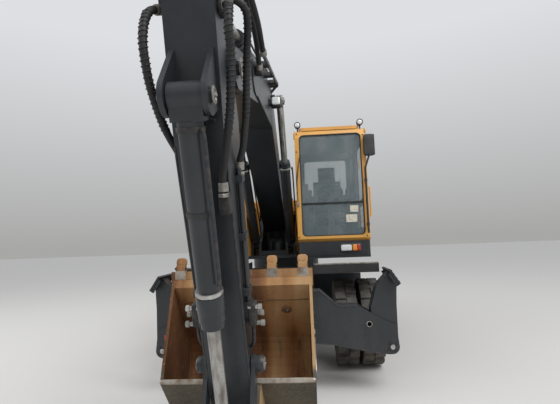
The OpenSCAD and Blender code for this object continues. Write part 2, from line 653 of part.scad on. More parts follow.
module cab_shell() color(orange) {
    difference() {
        side(cab_x, cab_out) cab_side_shape(0);
        side(cab_x + wall, cab_out - wall) cab_side_shape(wall);
        front(cab_front_y - 1, cab_front_y + wall + 150) round_rect(front_glass[0], front_glass[1], 60);
        front(cab_back - wall - 120, cab_back + 1) round_rect(rear_glass[0], rear_glass[1], 60);
        side(cab_x - 1, cab_x + wall + 1) round_rect(far_glass[0], far_glass[1], 60);
        side(cab_out - wall - 1, cab_out + 1) round_rect(side_glass[0], side_glass[1], 50);
        side(cab_out - wall - 1, cab_out + 1) round_rect([door_y[0], door_z[0]], [door_y[1], door_z[1]], 60);
    }
    plan(roof_z - 1, roof_z + 44) round_rect([cab_x + 60, cab_front_y + 90], [cab_out - 60, cab_back - 120], 90);
    for (z = [1800, 2700]) {
        block([cab_out - 1, door_hinge[1] + 22, z], [cab_out + 32, door_hinge[1] + 52, z + 90]);
        translate([door_hinge[0], door_hinge[1], z]) cylinder(r = 8, h = 90);
        block([cab_out + 12, door_hinge[1] - 6, z + 60], [cab_out + 32, door_hinge[1] + 23, z + 90]);
    }
}
module cab_glass() color(glass_blue) {
    front(cab_front_y + 20, cab_front_y + 20 + glass_t) difference() {
        round_rect(front_glass[0] + [fit, fit], front_glass[1] - [fit, fit], 60);
        translate([cab_x, glass_split_z - 4]) square([cab_w, 8]);
    }
    front(cab_back - 26, cab_back - 20) round_rect(rear_glass[0] + [fit, fit], rear_glass[1] - [fit, fit], 60);
    side(cab_x + 20, cab_x + 26) round_rect(far_glass[0] + [fit, fit], far_glass[1] - [fit, fit], 60);
    side(cab_out - 26, cab_out - 20) round_rect(side_glass[0] + [fit, fit], side_glass[1] - [fit, fit], 50);
}
door_win = [[door_y[0] + 80, 2130], [door_y[1] - 80, door_z[1] - 70]];
door_low = [[door_y[0] + 100, door_z[0] + 130], [door_y[1] - 120, 2060]];
module cab_door() color(orange) difference() {
    union() {
        side(cab_out - wall + 4, cab_out - 4)
            round_rect([door_y[0] + door_gap, door_z[0] + door_gap], [door_y[1] - door_gap, door_z[1] - door_gap], 54);
        for (z = [1800, 2700]) {
            translate([door_hinge[0], door_hinge[1], z + 8]) cylinder(r = 16, h = 46);
            block([cab_out - 5, door_hinge[1] - 60, z + 8], [cab_out + 20, door_hinge[1] - 8, z + 54]);
        }
        for (z = [1880, 2280]) bar([cab_out - 5, door_y[0] + 80, z], [cab_out + 50, door_y[0] + 80, z], 10);
        bar([cab_out + 45, door_y[0] + 80, 1880], [cab_out + 45, door_y[0] + 80, 2280], 12);
    }
    side(cab_out - wall, cab_out + 1) {
        round_rect(door_win[0], door_win[1], 50);
        round_rect(door_low[0], door_low[1], 50);
    }
    for (z = [1800, 2700]) translate([door_hinge[0], door_hinge[1], z]) cylinder(r = 8 + pin_fit, h = 90);
}
module door_glass() color(glass_blue) side(cab_out - 24, cab_out - 18) {
    round_rect(door_win[0] + [fit, fit], door_win[1] - [fit, fit], 50);
    round_rect(door_low[0] + [fit, fit], door_low[1] - [fit, fit], 50);
}
seat_x = cab_x + cab_w / 2;
module seat() color(black) {
    block([seat_x - 190, -560, cab_z + wall + fit], [seat_x + 190, -160, cab_z + 260]);
    side(seat_x - 245, seat_x + 245) polygon([[-640, 1830], [-660, 1900], [-640, 1950], [-160, 1950], [-150, 1804], [-600, 1804]]);
    side(seat_x - 230, seat_x + 230) polygon([[-190, 1940], [-90, 2540], [-40, 2540], [-60, 1804], [-160, 1804]]);
    side(seat_x - 140, seat_x + 140) polygon([[-120, 2590], [-80, 2780], [-20, 2780], [-40, 2530], [-100, 2530]]);
    for (s = [-1, 1]) side(seat_x + s * 290 - 50, seat_x + s * 290 + 50)
        polygon([[-540, 2080], [-540, 2130], [-100, 2130], [-100, 1900], [-180, 1900], [-200, 2080]]);
    block([seat_x - 345, -180, 1900], [seat_x + 345, -100, 1960]);
}
module controls() color(black) {
    side(seat_x - 50, seat_x + 50) polygon([[-1060, cab_z + wall + fit], [-900, cab_z + wall + fit], [-860, 2180], [-920, 2200]]);
    bar([seat_x, -890, 2180], [seat_x, -840, 2260], 26);
    translate([seat_x, -835, 2266]) rotate([-32, 0, 0]) rotate_extrude() translate([180, 0]) circle(15, $fn = 16);
    translate([seat_x, -835, 2266]) rotate([-32, 0, 0]) for (a = [90, 210, 330]) rotate([0, 0, a]) rotate([0, 90, 0])
        cylinder(r = 11, h = 180);
    for (s = [-1, 1]) {
        translate([seat_x + s * 290, -495, 2130 + fit]) cylinder(r = 12, h = 165);
        translate([seat_x + s * 290, -495, 2300]) sphere(r = 26);
    }
    block([cab_x + wall + fit, -1100, 2150], [cab_x + wall + 110, -1020, 2380]);
    block([cab_x + wall + fit, -1090, 1900], [cab_x + wall + 40, -1050, 2160]);
}

// Handrails, mirrors and lamps
rail_r = 14;
module handrails() color(black) {
    for (z = [1760, 2360]) bar([cab_out - 30, cab_front_y - 60, z], [cab_out - 30, cab_front_y - fit, z], 12);
    bar([cab_out - 30, cab_front_y - 60, 1640], [cab_out - 30, cab_front_y - 60, 2530], rail_r);
    bar([cab_out - 30, cab_front_y - 60, 2522], [cab_out + 36, cab_front_y - 60, 2712], rail_r - 1);
    block([cab_out - 30, cab_front_y - 82, 2700], [cab_out + 110, cab_front_y - 38, 2980]);
    for (y = [-880, -200]) bar([-1120, y, side_body_z + fit], [-1120, y, side_body_z + 426], rail_r);
    bar([-1120, -892, side_body_z + 414], [-1120, -188, side_body_z + 414], rail_r - 1);
    for (x = [-1100, -620]) bar([x, -1120, 1632], [x, -1060 - fit, 1632], 12);
    bar([-1100, -1120, 1400], [-1100, -1120, 2060], rail_r);
    bar([-620, -1120, 1560], [-620, -1120, 1800], rail_r);
    bar([-1100, -1120, 1632], [-620, -1120, 1632], rail_r - 1);
}
module lamps() color(black) {
    for (x = [cab_x + 48, cab_out - 48]) {
        bar([x, cab_front_y + 130, roof_z + fit], [x, cab_front_y + 130, roof_z + 60], 10);
        front(cab_front_y + 100, cab_front_y + 160) translate([x, roof_z + 90]) circle(42);
    }
    translate([cab_out - 200, cab_back - 300, roof_z + 44 + fit]) cylinder(r = 50, h = 40);
    translate([cab_out - 200, cab_back - 300, roof_z + 84]) cylinder(r = 42, h = 110);
}

// Places the boom's own shapes: X stays, Y runs back along the boom, Z stands off it
module at_boom() translate([boom_x, boom_foot[0], boom_foot[1]]) rotate([-boom_angle, 0, 0]) children();
// The same for the arm: Y points away from the bucket cylinder, Z points up along the arm
module at_arm() translate([boom_x, boom_tip[0], boom_tip[1]]) rotate([arm_lean, 0, 0]) children();
// The same for the bucket: Y goes into the bowl, Z runs along the mouth to the cutting edge
module at_bucket() translate([boom_x, bucket_pin[0], bucket_pin[1]]) rotate([mouth_angle - 90, 0, 0]) children();
// Boom outline points [s, h] and arm outline points [a, n] in those frames
function bm(s, h) = [-s, h];
function ar(a, n) = [-n, -a];
foot_r = 120;
knee_r = 250;
knee_place = [2400, 895];
knee = bm(knee_place[0], knee_place[1]);
fork_gap = arm_w / 2 + side_gap;
fork_end = 3880;
crowd_lug_w = 40;
crowd_lug_in = crowd_r + 14;
crowd_place = bm(2330, 1400);
module boom() color(charcoal) {
    boom_body();
    xbar(boom_tip, main_pin_r, boom_x - fork_w / 2 - 16, boom_x + fork_w / 2 + 16);
    xbar(crowd_base, lift_pin_r, boom_x - crowd_lug_in - crowd_lug_w - 10, boom_x + crowd_lug_in + crowd_lug_w + 10);
}
module boom_body() difference() {
    union() {
        at_boom() {
            side(-boom_w / 2, boom_w / 2) {
                strap([0, 0], knee, foot_r, knee_r);
                strap(knee, bm(fork_end, 390), knee_r, 138);
            }
            for (x = [-fork_w / 2, fork_gap]) side(x, x + fork_w / 2 - fork_gap) {
                strap(bm(fork_end - 160, 420), bm(boom_len, 0), 150, 116);
            }
            for (x = [-crowd_lug_in - crowd_lug_w, crowd_lug_in]) side(x, x + crowd_lug_w) {
                strap(bm(2360, 1000), crowd_place, 240, 84);
            }
        }
        xbar(lift_eye, 78, boom_x - lift_boss, boom_x + lift_boss);
    }
    xbar(boom_foot, main_pin_r + pin_fit, boom_x - 300, boom_x + 300);
}
// Height of the boom's upper edge before the knee: the common tangent of the foot's and the knee's circles
top_angle = atan2(knee_place[1], knee_place[0]) + asin((knee_r - foot_r) / norm(knee_place));
function boom_top(s) = foot_r * cos(top_angle) + (s + foot_r * sin(top_angle)) * tan(top_angle);
pipe_r = 14;
pipe_lift = 40;
module boom_pipes() color(charcoal) at_boom() for (s = [-1, 1]) {
    for (k = [0, 1]) {
        x = s * (boom_w / 2 - 30 - k * 46);
        bar([x, -560, boom_top(560) + pipe_lift], [x, -2100, boom_top(2100) + pipe_lift], pipe_r);
    }
    for (a = [620, 1100, 1600, 2050]) side(s * (boom_w / 2 - 53) - 46, s * (boom_w / 2 - 53) + 46)
        polygon([bm(a, boom_top(a) + fit), bm(a + 50, boom_top(a + 50) + fit),
            bm(a + 50, boom_top(a + 50) + pipe_lift + 24), bm(a, boom_top(a) + pipe_lift + 24)]);
}
module arm() color(charcoal) {
    arm_body();
    xbar(curl_base, lift_pin_r, boom_x - 124, boom_x + 124);
    boom_both() xbar(crowd_eye, lift_pin_r, 60, arm_w / 2 + 16);
}
module arm_body() difference() {
    union() {
        at_arm() {
            side(-arm_w / 2, arm_w / 2) {
                strap(ar(-480, 260), ar(330, 105), 86, 245);
                strap(ar(330, 105), ar(2000, 0), 245, 98);
                strap(ar(2000, 0), ar(arm_len, 0), 98, 84);
            }
            for (x = [-112, 86]) side(x, x + 26) strap(ar(60, 250), ar(190, 495), 150, 92);
        }
    }
    xbar(boom_tip, main_pin_r + pin_fit, boom_x - 300, boom_x + 300);
    xbar(rocker_pin, arm_pin_r + pin_fit, boom_x - 300, boom_x + 300);
    xbar(bucket_pin, arm_pin_r + pin_fit, boom_x - 300, boom_x + 300);
    at_arm() side(-58, 58) {
        strap(ar(-480, 260), ar(-900, 240), 195, 240);
        strap(ar(-480, 260), ar(-300, -300), 195, 240);
    }
}
module arm_pipes() color(charcoal) at_arm() for (s = [-1, 1]) {
    x = s * (arm_w / 2 + pipe_r + 6);
    bar([x, -60, -560], [x, -40, -1380], pipe_r);
    bar([x, -105, -560], [x, -80, -1380], pipe_r);
    for (z = [-1300, -960, -620]) block([x - 20, -125, z - 20], [x + 20, -25, z + 20]);
    block([x - 20, -110, -1460], [x + 20, -30, -1370]);
}

// Bucket
bowl_c = [340, 370];
bowl_r = 300;
function bowl(t) = concat([[lip[0] + t, lip[1] - (t > 0 ? 60 : 0)]],
    [for (i = [0:12]) let (a = 195 - i * 13.3) bowl_c + (bowl_r - t) * [cos(a), sin(a)]],
    [[edge[0] - 1.3 * t, edge[1] - (t > 0 ? 60 : 0)]]);
ear_in = arm_w / 2 + side_gap;
ear_t = 30;
// A flat shape given as [p, q], drawn in the bucket's frame
function bk(v) = [v[1], v[0]];
module bucket() color(bare_steel) difference() {
    union() {
        at_bucket() {
            difference() {
                side(-bucket_w / 2, bucket_w / 2) polygon([for (v = bowl(0)) bk(v)]);
                side(-bucket_w / 2 + shell_t, bucket_w / 2 - shell_t) polygon([for (v = bowl(shell_t)) bk(v)]);
            }
            side(-bucket_w / 2 - 8, bucket_w / 2 + 8)
                polygon([for (v = [[edge[0] - 60, 52], [edge[0] + 60, -4], [edge[0] + 60, 22], [edge[0] - 40, 84]]) bk(v)]);
            for (x = [-ear_in - ear_t, ear_in]) side(x, x + ear_t) {
                strap([0, 0], bk([-163, 321]), 78, 70);
                polygon([for (v = [[20, -70], [lip[0] + 6, 20], [90, 240], [50, 400], [60, 520], [-163, 391], [-200, 300], [-70, 0]]) bk(v)]);
            }
        }
        xbar(bucket_pin, arm_pin_r, boom_x - ear_in - ear_t - 16, boom_x + ear_in + ear_t + 16);
        boom_both() xbar(bucket_link_pin, 44, ear_in + ear_t - 1, ear_in + ear_t + 18);
    }
}
tooth_w = 74;
module bucket_teeth() color(bare_steel) at_bucket() for (i = [0:teeth - 1]) {
    x = (i - (teeth - 1) / 2) * (bucket_w - 130) / (teeth - 1);
    intersection() {
        side(x - tooth_w / 2, x + tooth_w / 2)
            polygon([for (v = [[edge[0] + 60 + fit, -10], [edge[0] + 100, -16], [edge[0] + tooth_len, 0],
                [edge[0] + tooth_len, 12], [edge[0] + 100, 36], [edge[0] + 60 + fit, 30]]) bk(v)]);
        front(-60, 90) polygon([[x - tooth_w / 2, edge[0]], [x + tooth_w / 2, edge[0]], [x + tooth_w / 2, edge[0] + 90],
            [x + tooth_w / 2 - 14, edge[0] + tooth_len + 1], [x - tooth_w / 2 + 14, edge[0] + tooth_len + 1],
            [x - tooth_w / 2, edge[0] + 90]]);
    }
}
rocker_t = 28;
stub_in = 62;
module rocker() color(charcoal) {
    boom_both() {
        side(fork_gap, fork_gap + rocker_t) strap(rocker_pin, link_pin, 56, 60);
        xbar(rocker_pin, 50, fork_gap + rocker_t - 1, fork_gap + rocker_t + 16);
        xbar(link_pin, arm_pin_r, stub_in, fork_gap + rocker_t + 20);
    }
    xbar(rocker_pin, arm_pin_r, boom_x - fork_gap - 5, boom_x + fork_gap + 5);
}
link_in = 72;
link_t = 52;
module bucket_link() color(charcoal) {
    boom_both() difference() {
        side(link_in, link_in + link_t) strap(link_pin, bucket_link_pin, 64, 62);
        xbar(link_pin, arm_pin_r + pin_fit, link_in - 1, link_in + link_t + 1);
    }
    xbar(bucket_link_pin, 60, boom_x - link_in - link_t - 6, boom_x + link_in + link_t + 6);
    xbar((link_pin + bucket_link_pin * 1.4) / 2.4, 42, boom_x - link_in - 1, boom_x + link_in + 1);
}

// Cylinders of the working equipment
module boom_barrels() color(charcoal) for (s = [-1, 1]) aim(lift_base, lift_eye, boom_x + s * lift_x)
    barrel(lift_l, lift_r, lift_rod_r, 62, lift_eye_w, lift_pin_r);
module boom_rods() color(steel) for (s = [-1, 1]) aim_end(lift_base, lift_eye, boom_x + s * lift_x)
    rod(norm(lift_eye - lift_base) - lift_l + gland_l + piston_l + 560, lift_rod_r, lift_r - cyl_wall, 70, lift_eye_w, lift_cap);
module arm_barrel() color(charcoal) aim(crowd_base, crowd_eye, boom_x)
    barrel(crowd_l, crowd_r, crowd_rod_r, 66, 2 * (crowd_lug_in - side_gap), lift_pin_r);
module arm_rod() color(steel) aim_end(crowd_base, crowd_eye, boom_x)
    rod(norm(crowd_eye - crowd_base) - crowd_l + gland_l + piston_l + 330, crowd_rod_r, crowd_r - cyl_wall, 72, 100, 3);
module bucket_barrel() color(charcoal) aim(curl_base, link_pin, boom_x)
    barrel(curl_l, curl_r, curl_rod_r, 70, 160, lift_pin_r);
module bucket_rod() color(steel) aim_end(curl_base, link_pin, boom_x)
    rod(norm(link_pin - curl_base) - curl_l + gland_l + piston_l + 16, curl_rod_r, curl_r - cyl_wall, 62, 110, 3);

chassis_frame();
slew_ring();
front_axle();
rear_axle();
driveline();
side_steps();
fenders();
stabiliser_beam();
knuckle_left();
knuckle_right();
rims_front_left();
rims_front_right();
rims_rear_left();
rims_rear_right();
tyres_front_left();
tyres_front_right();
tyres_rear_left();
tyres_rear_right();
leg_left();
leg_right();
leg_barrel_left();
leg_barrel_right();
leg_rod_left();
leg_rod_right();
blade();
blade_barrels();
blade_rods();
turntable_frame();
side_decks();
counterweight();
engine_block();
body_covers();
hood();
exhaust();
swing_motor();
cab_shell();
cab_glass();
cab_door();
door_glass();
seat();
controls();
handrails();
lamps();
boom();
boom_pipes();
arm();
arm_pipes();
bucket();
bucket_teeth();
rocker();
bucket_link();
boom_barrels();
boom_rods();
arm_barrel();
arm_rod();
bucket_barrel();
bucket_rod();
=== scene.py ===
import json
import math
import bpy
import bmesh
import numpy as np
from mathutils import Matrix, Vector


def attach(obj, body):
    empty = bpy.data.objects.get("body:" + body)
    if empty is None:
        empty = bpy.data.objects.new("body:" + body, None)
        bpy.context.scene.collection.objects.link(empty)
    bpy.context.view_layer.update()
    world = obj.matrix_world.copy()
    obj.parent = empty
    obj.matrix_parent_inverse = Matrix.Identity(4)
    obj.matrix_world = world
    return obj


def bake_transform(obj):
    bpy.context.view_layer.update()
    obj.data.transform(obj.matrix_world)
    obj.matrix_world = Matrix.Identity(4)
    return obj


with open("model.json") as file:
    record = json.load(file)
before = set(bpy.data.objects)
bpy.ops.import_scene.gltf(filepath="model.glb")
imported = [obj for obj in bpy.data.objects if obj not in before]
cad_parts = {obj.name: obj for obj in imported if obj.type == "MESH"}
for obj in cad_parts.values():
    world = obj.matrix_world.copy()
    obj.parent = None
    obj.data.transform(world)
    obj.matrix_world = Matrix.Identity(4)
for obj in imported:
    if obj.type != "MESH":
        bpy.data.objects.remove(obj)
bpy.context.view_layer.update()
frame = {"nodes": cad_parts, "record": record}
nodes = frame["nodes"]
scene = bpy.context.scene
pi = math.pi
print("frame loaded:", len(nodes), "nodes")

# The machine's own measures that the dressing needs, in metres and degrees
machine = {
    "boomX": -0.15, "boomFoot": (-0.150, 1.850), "boomAngle": 9.0, "boomLength": 4.590, "boomWidth": 0.360,
    "armLean": 15.0, "armLength": 2.180, "armWidth": 0.260, "mouthAngle": 67.0, "bucketWidth": 1.090,
    "frontAxleY": -1.550, "rearAxleY": 1.050, "axleZ": 0.528, "trackHalf": 0.957,
}


def onBoom(s, h):
    # distance along the boom from its foot pin and height off that line, as a place in Y and Z
    a = math.radians(machine["boomAngle"])
    y, z = machine["boomFoot"]
    return np.array([y - s * math.cos(a) + h * math.sin(a), z + s * math.sin(a) + h * math.cos(a)])


def onArm(a, n):
    # distance down the arm from the boom pin and offset toward the bucket cylinder
    t = math.radians(machine["armLean"])
    tip = onBoom(machine["boomLength"], 0)
    return tip + a * np.array([math.sin(t), -math.cos(t)]) + n * np.array([-math.cos(t), -math.sin(t)])


def onBucket(p, q):
    # distance along the mouth from the bucket pin and depth into the bowl
    t = math.radians(machine["mouthAngle"])
    pin = onArm(machine["armLength"], 0)
    return pin + p * np.array([math.cos(t), math.sin(t)]) + q * np.array([math.sin(t), -math.cos(t)])


def at(x, yz):
    return np.array([x, yz[0], yz[1]])


def boomAt(x, s, h):
    return at(machine["boomX"] + x, onBoom(s, h))


def armAt(x, a, n):
    return at(machine["boomX"] + x, onArm(a, n))


def bucketAt(x, p, q):
    return at(machine["boomX"] + x, onBucket(p, q))


def axesOf(place):
    # a body's own directions: across, along its line and off it
    o = place(0, 0, 0)
    return [(1, 0, 0), (place(0, 1, 0) - o).tolist(), (place(0, 0, 1) - o).tolist()]


armAxes, boomAxes, bucketAxes = axesOf(armAt), axesOf(boomAt), axesOf(bucketAt)
pinPlace = {
    "boomFoot": machine["boomFoot"], "boomHead": onBoom(machine["boomLength"], 0),
    "liftFoot": (-0.600, 1.520), "liftEye": onBoom(2.380, 0.980),
    "crowdFoot": onBoom(2.330, 1.400), "crowdEye": onArm(-0.480, 0.260),
    "curlFoot": onArm(0.190, 0.495), "curlEye": onArm(2.235, 0.300),
    "rockerFoot": onArm(1.820, 0.020), "armHead": onArm(machine["armLength"], 0),
    "linkEnd": onBucket(-0.163, 0.321),
}
towardFront, towardRear, upward = ((1, 0, 0), (0, 0, 1)), ((-1, 0, 0), (0, 0, 1)), ((1, 0, 0), (0, 1, 0))


def meshFrom(name, points, faces):
    mesh = bpy.data.meshes.new(name)
    mesh.from_pydata([tuple(p) for p in np.asarray(points, float).tolist()], [], [list(f) for f in faces])
    mesh.update()
    piece = bpy.data.objects.new(name, mesh)
    scene.collection.objects.link(piece)
    return piece


def tubeFaces(rows, columns, closed=False):
    # quads between rings of points, and a flat face at each end unless the rings run round
    i = np.arange(rows if closed else rows - 1)
    i, j = np.meshgrid(i, np.arange(columns), indexing="ij")
    i2, j2 = (i + 1) % rows, (j + 1) % columns
    faces = np.stack([i * columns + j, i * columns + j2, i2 * columns + j2, i2 * columns + j], -1)
    faces = faces.reshape(-1, 4).tolist()
    if not closed:
        faces += [list(range(columns))[::-1], [(rows - 1) * columns + k for k in range(columns)]]
    return faces


def smooth(piece, angle=35):
    piece.data.polygons.foreach_set("use_smooth", np.ones(len(piece.data.polygons), bool))
    if angle:
        piece.data.set_sharp_from_angle(angle=math.radians(angle))
    return piece


def recalc(piece):
    # double points merged, faces turned outwards
    bm = bmesh.new()
    bm.from_mesh(piece.data)
    bmesh.ops.remove_doubles(bm, verts=bm.verts, dist=1e-6)
    bmesh.ops.recalc_face_normals(bm, faces=bm.faces)
    bm.to_mesh(piece.data)
    bm.free()
    return piece


def joined(name, pieces):
    # several pieces made one mesh, their points and faces stacked
    points, faces, start = [], [], 0
    for p in pieces:
        co = np.empty(len(p.data.vertices) * 3)
        p.data.vertices.foreach_get("co", co)
        points.append(co.reshape(-1, 3))
        faces += [[v + start for v in f.vertices] for f in p.data.polygons]
        start += len(p.data.vertices)
        bpy.data.objects.remove(p)
    return meshFrom(name, np.concatenate(points), faces)


def circle(radius, sides=16, start=0.0):
    # radius times the cosine and sine of even angles
    a = np.linspace(0, 2 * pi, sides, endpoint=False) + start
    return np.stack([radius * np.cos(a), radius * np.sin(a)], 1)


def roundRect(width, height, radius, sides=3):
    # outline of a rectangle with round corners about its middle
    a = np.linspace(0, pi / 2, sides)
    parts = []
    for k, (sx, sy) in enumerate([(1, 1), (-1, 1), (-1, -1), (1, -1)]):
        c = np.array([sx * (width / 2 - radius), sy * (height / 2 - radius)])
        parts.append(c + radius * np.stack([np.cos(a + k * pi / 2), np.sin(a + k * pi / 2)], 1))
    return np.concatenate(parts)


def frameLine(low, high, radius, place, normal):
    # rectangle with round corners as a closed line between two corners, at a place on its normal (0 X, 1 Y)
    p = roundRect(high[0] - low[0], high[1] - low[1], radius, 8)
    return np.insert(p + (np.array(low) + np.array(high)) / 2, normal, place, 1)


def along(points, step):
    # places at an even step along a line through the given points
    points = np.asarray(points, float)
    reach = np.concatenate([[0], np.cumsum(np.linalg.norm(np.diff(points, axis=0), axis=1))])
    t = np.linspace(0, reach[-1], max(2, int(round(reach[-1] / step)) + 1))
    return np.stack([np.interp(t, reach, points[:, k]) for k in range(3)], 1)


def curved(points, count=8):
    # Catmull-Rom curve: half of 2b + (c - a)t + (2a - 5b + 4c - d)t^2 + (3b - a - 3c + d)t^3
    p = np.asarray(points, float)
    p = np.vstack([p[:1], p, p[-1:]])
    a, b, c, d = p[:-3, None], p[1:-2, None], p[2:-1, None], p[3:, None]
    t = np.linspace(0, 1, count, endpoint=False)[None, :, None]
    line = (2 * b + (c - a) * t + (2 * a - 5 * b + 4 * c - d) * t ** 2 + (3 * b - a - 3 * c + d) * t ** 3) / 2
    return np.vstack([line.reshape(-1, 3), p[-1:]])


def frames(path, closed=False):
    # unit tangent and two steady normals along a path, carried from one point to the next
    path = np.asarray(path, float)
    step = np.roll(path, -1, 0) - np.roll(path, 1, 0)
    if not closed:
        step[0], step[-1] = path[1] - path[0], path[-1] - path[-2]
    tangent = step / np.linalg.norm(step, axis=1)[:, None]
    helper = np.array([0, 0, 1.0]) if abs(tangent[0][2]) < 0.9 else np.array([0, 1.0, 0])
    normal = np.zeros_like(path)
    n = np.cross(tangent[0], helper)
    for k in range(len(path)):
        n = n - tangent[k] * (n @ tangent[k])
        n = n / np.linalg.norm(n)
        normal[k] = n
    return tangent, normal, np.cross(tangent, normal)


def sweep(name, path, profile, closed=False, scale=None):
    # a flat profile [u, v] carried along a path: point = path + size * (u * normal + v * binormal)
    path, profile = np.asarray(path, float), np.asarray(profile, float)
    _, n, b = frames(path, closed)
    size = np.ones(len(path)) if scale is None else np.asarray(scale, float)
    flat = profile[None, :, 0:1] * n[:, None] + profile[None, :, 1:2] * b[:, None]
    rings = path[:, None] + size[:, None, None] * flat
    piece = meshFrom(name, rings.reshape(-1, 3), tubeFaces(len(path), len(profile), closed))
    x, y = profile.T
    if float(np.sum(x * np.roll(y, -1) - y * np.roll(x, -1))) > 0:
        piece.data.flip_normals()
    return piece


def turned(name, profile, centre, axis, sides=24, ring=False):
    # a profile of [radius, distance along the axis] turned about the axis, closed on itself for a ring
    profile = np.asarray(profile, float)
    axis = np.asarray(axis, float) / np.linalg.norm(axis)
    helper = np.array([0, 0, 1.0]) if abs(axis[2]) < 0.9 else np.array([1.0, 0, 0])
    u = np.cross(axis, helper)
    u /= np.linalg.norm(u)
    c, s = circle(1.0, sides).T
    spoke = c[:, None] * u + s[:, None] * np.cross(axis, u)
    points = np.asarray(centre) + profile[:, 1][:, None, None] * axis + profile[:, 0][:, None, None] * spoke[None]
    return recalc(meshFrom(name, points.reshape(-1, 3), tubeFaces(len(profile), sides, ring)))


def bead(name, points, radius=0.005, pitch=0.012):
    # weld bead: a thin round line whose radius swells and shrinks once every pitch
    path = along(points, pitch / 3)
    t = np.arange(len(path))
    return smooth(sweep(name, path, circle(radius, 6), scale=1 + 0.16 * np.sin(2 * pi * t / 3)), 0)


def basis(axes):
    # two unit directions across each axis, from cross products with a helper
    n = np.asarray(axes, float)
    n = n / np.linalg.norm(n, axis=1)[:, None]
    helper = np.where(np.abs(n[:, 2:3]) < 0.9, np.array([[0, 0, 1.0]]), np.array([[1.0, 0, 0]]))
    u = np.cross(helper, n)
    u = u / np.linalg.norm(u, axis=1)[:, None]
    return u, np.cross(n, u), n


def ringShape(rings, sides, hexFrom=99):
    # rings [radius, height] about Z, those from hexFrom on with six flats: r = cos 30 / cos(angle mod 60 - 30)
    a = np.linspace(0, 2 * pi, sides, endpoint=False)
    flat = math.cos(pi / 6) / np.cos(np.mod(a, pi / 3) - pi / 6)
    rings = np.asarray(rings, float)
    r = rings[:, 0:1] * np.where(np.arange(len(rings))[:, None] >= hexFrom, flat[None], 1.0)
    points = np.stack([r * np.cos(a), r * np.sin(a), np.repeat(rings[:, 1:2], sides, 1)], -1).reshape(-1, 3)
    return points, tubeFaces(len(rings), sides)


smallShapes = {
    "bolt": ringShape([[1.5, 0], [1.5, 0.22], [1.0, 0.22], [1.0, 0.82], [0.8, 0.98]], 12, 2),
    "nut": ringShape([[1.0, 0], [1.08, 0.06], [1.08, 0.62], [1.0, 0.7]], 12, 0),
    "dome": ringShape([[1.0, 0], [1.0, 0.12], [0.92, 0.3], [0.66, 0.46], [0.3, 0.54]], 16),
    "cap": ringShape([[1.0, 0], [1.0, 0.10], [0.93, 0.16], [0.62, 0.16], [0.56, 0.08], [0.2, 0.08], [0.17, 0.34],
                      [0.1, 0.38]], 18),
}


def stamp(name, shape, places, axes, sizes):
    # one small shape at many places: point = place + size * (x * across + y * over + z * axis)
    points, faces = smallShapes[shape]
    places = np.asarray(places, float).reshape(-1, 3)
    axes = np.broadcast_to(np.asarray(axes, float), places.shape)
    sizes = np.broadcast_to(np.asarray(sizes, float), (len(places),))
    u, v, n = basis(axes)
    x, y, z = (points[None, :, k:k + 1] for k in range(3))
    put = places[:, None] + sizes[:, None, None] * (x * u[:, None] + y * v[:, None] + z * n[:, None])
    allFaces = [[k + i * len(points) for k in f] for i in range(len(places)) for f in faces]
    return smooth(meshFrom(name, put.reshape(-1, 3), allFaces), 40)


def signedPower(c, power):
    # |c| to a power, with c's own sign
    return np.sign(c) * np.abs(c) ** power


def pillow(name, centre, across, over, width, height, depth, power=4.0, grid=18, crown=0.25):
    # rounded slab: outline |x|^n + |y|^n = 1, its face crowned as (1 - r^4), a closed back
    across, over = np.asarray(across, float), np.asarray(over, float)
    out = np.cross(across, over)
    edge = signedPower(circle(1.0, 4 * grid), 2 / power)
    rings = [(1.0, 0.0), (1.0, 0.55)]
    for r in (0.985, 0.95, 0.85, 0.6, 0.3, 0.02):
        rings.append((r, 0.55 + 0.2 * math.sqrt(1 - r ** 6) + crown * (1 - r ** 4)))
    points = np.concatenate([np.asarray(centre) + (edge[:, 0:1] * r * width / 2) * across
                             + (edge[:, 1:2] * r * height / 2) * over + out * depth * z for r, z in rings])
    return smooth(recalc(meshFrom(name, points, tubeFaces(len(rings), 4 * grid))), 40)


def softBox(name, centre, size, power=5.0, rows=24, columns=40):
    # superellipsoid: each coordinate is half the size times sign(c) |c|^(2/n) of the sphere's own
    v = np.linspace(-pi / 2 + 0.02, pi / 2 - 0.02, rows)[:, None]
    u = np.linspace(0, 2 * pi, columns, endpoint=False)[None]
    cu, su, cv, sv = (signedPower(c, 2 / power) for c in (np.cos(u), np.sin(u), np.cos(v), np.sin(v)))
    points = np.stack([cv * cu, cv * su, sv * np.ones_like(u)], -1).reshape(-1, 3)
    points = points * np.asarray(size) / 2 + np.asarray(centre)
    return smooth(recalc(meshFrom(name, points, tubeFaces(rows, columns))), 50)


def brick(name, centre, size, axes, power=6.0):
    # superellipsoid block turned to three unit directions
    piece = softBox(name, (0, 0, 0), size, power)
    turn = Matrix(np.asarray(axes, float).T.tolist()).to_4x4()
    piece.data.transform(Matrix.Translation(Vector(centre)) @ turn)
    return recalc(piece)


print("tools ready")


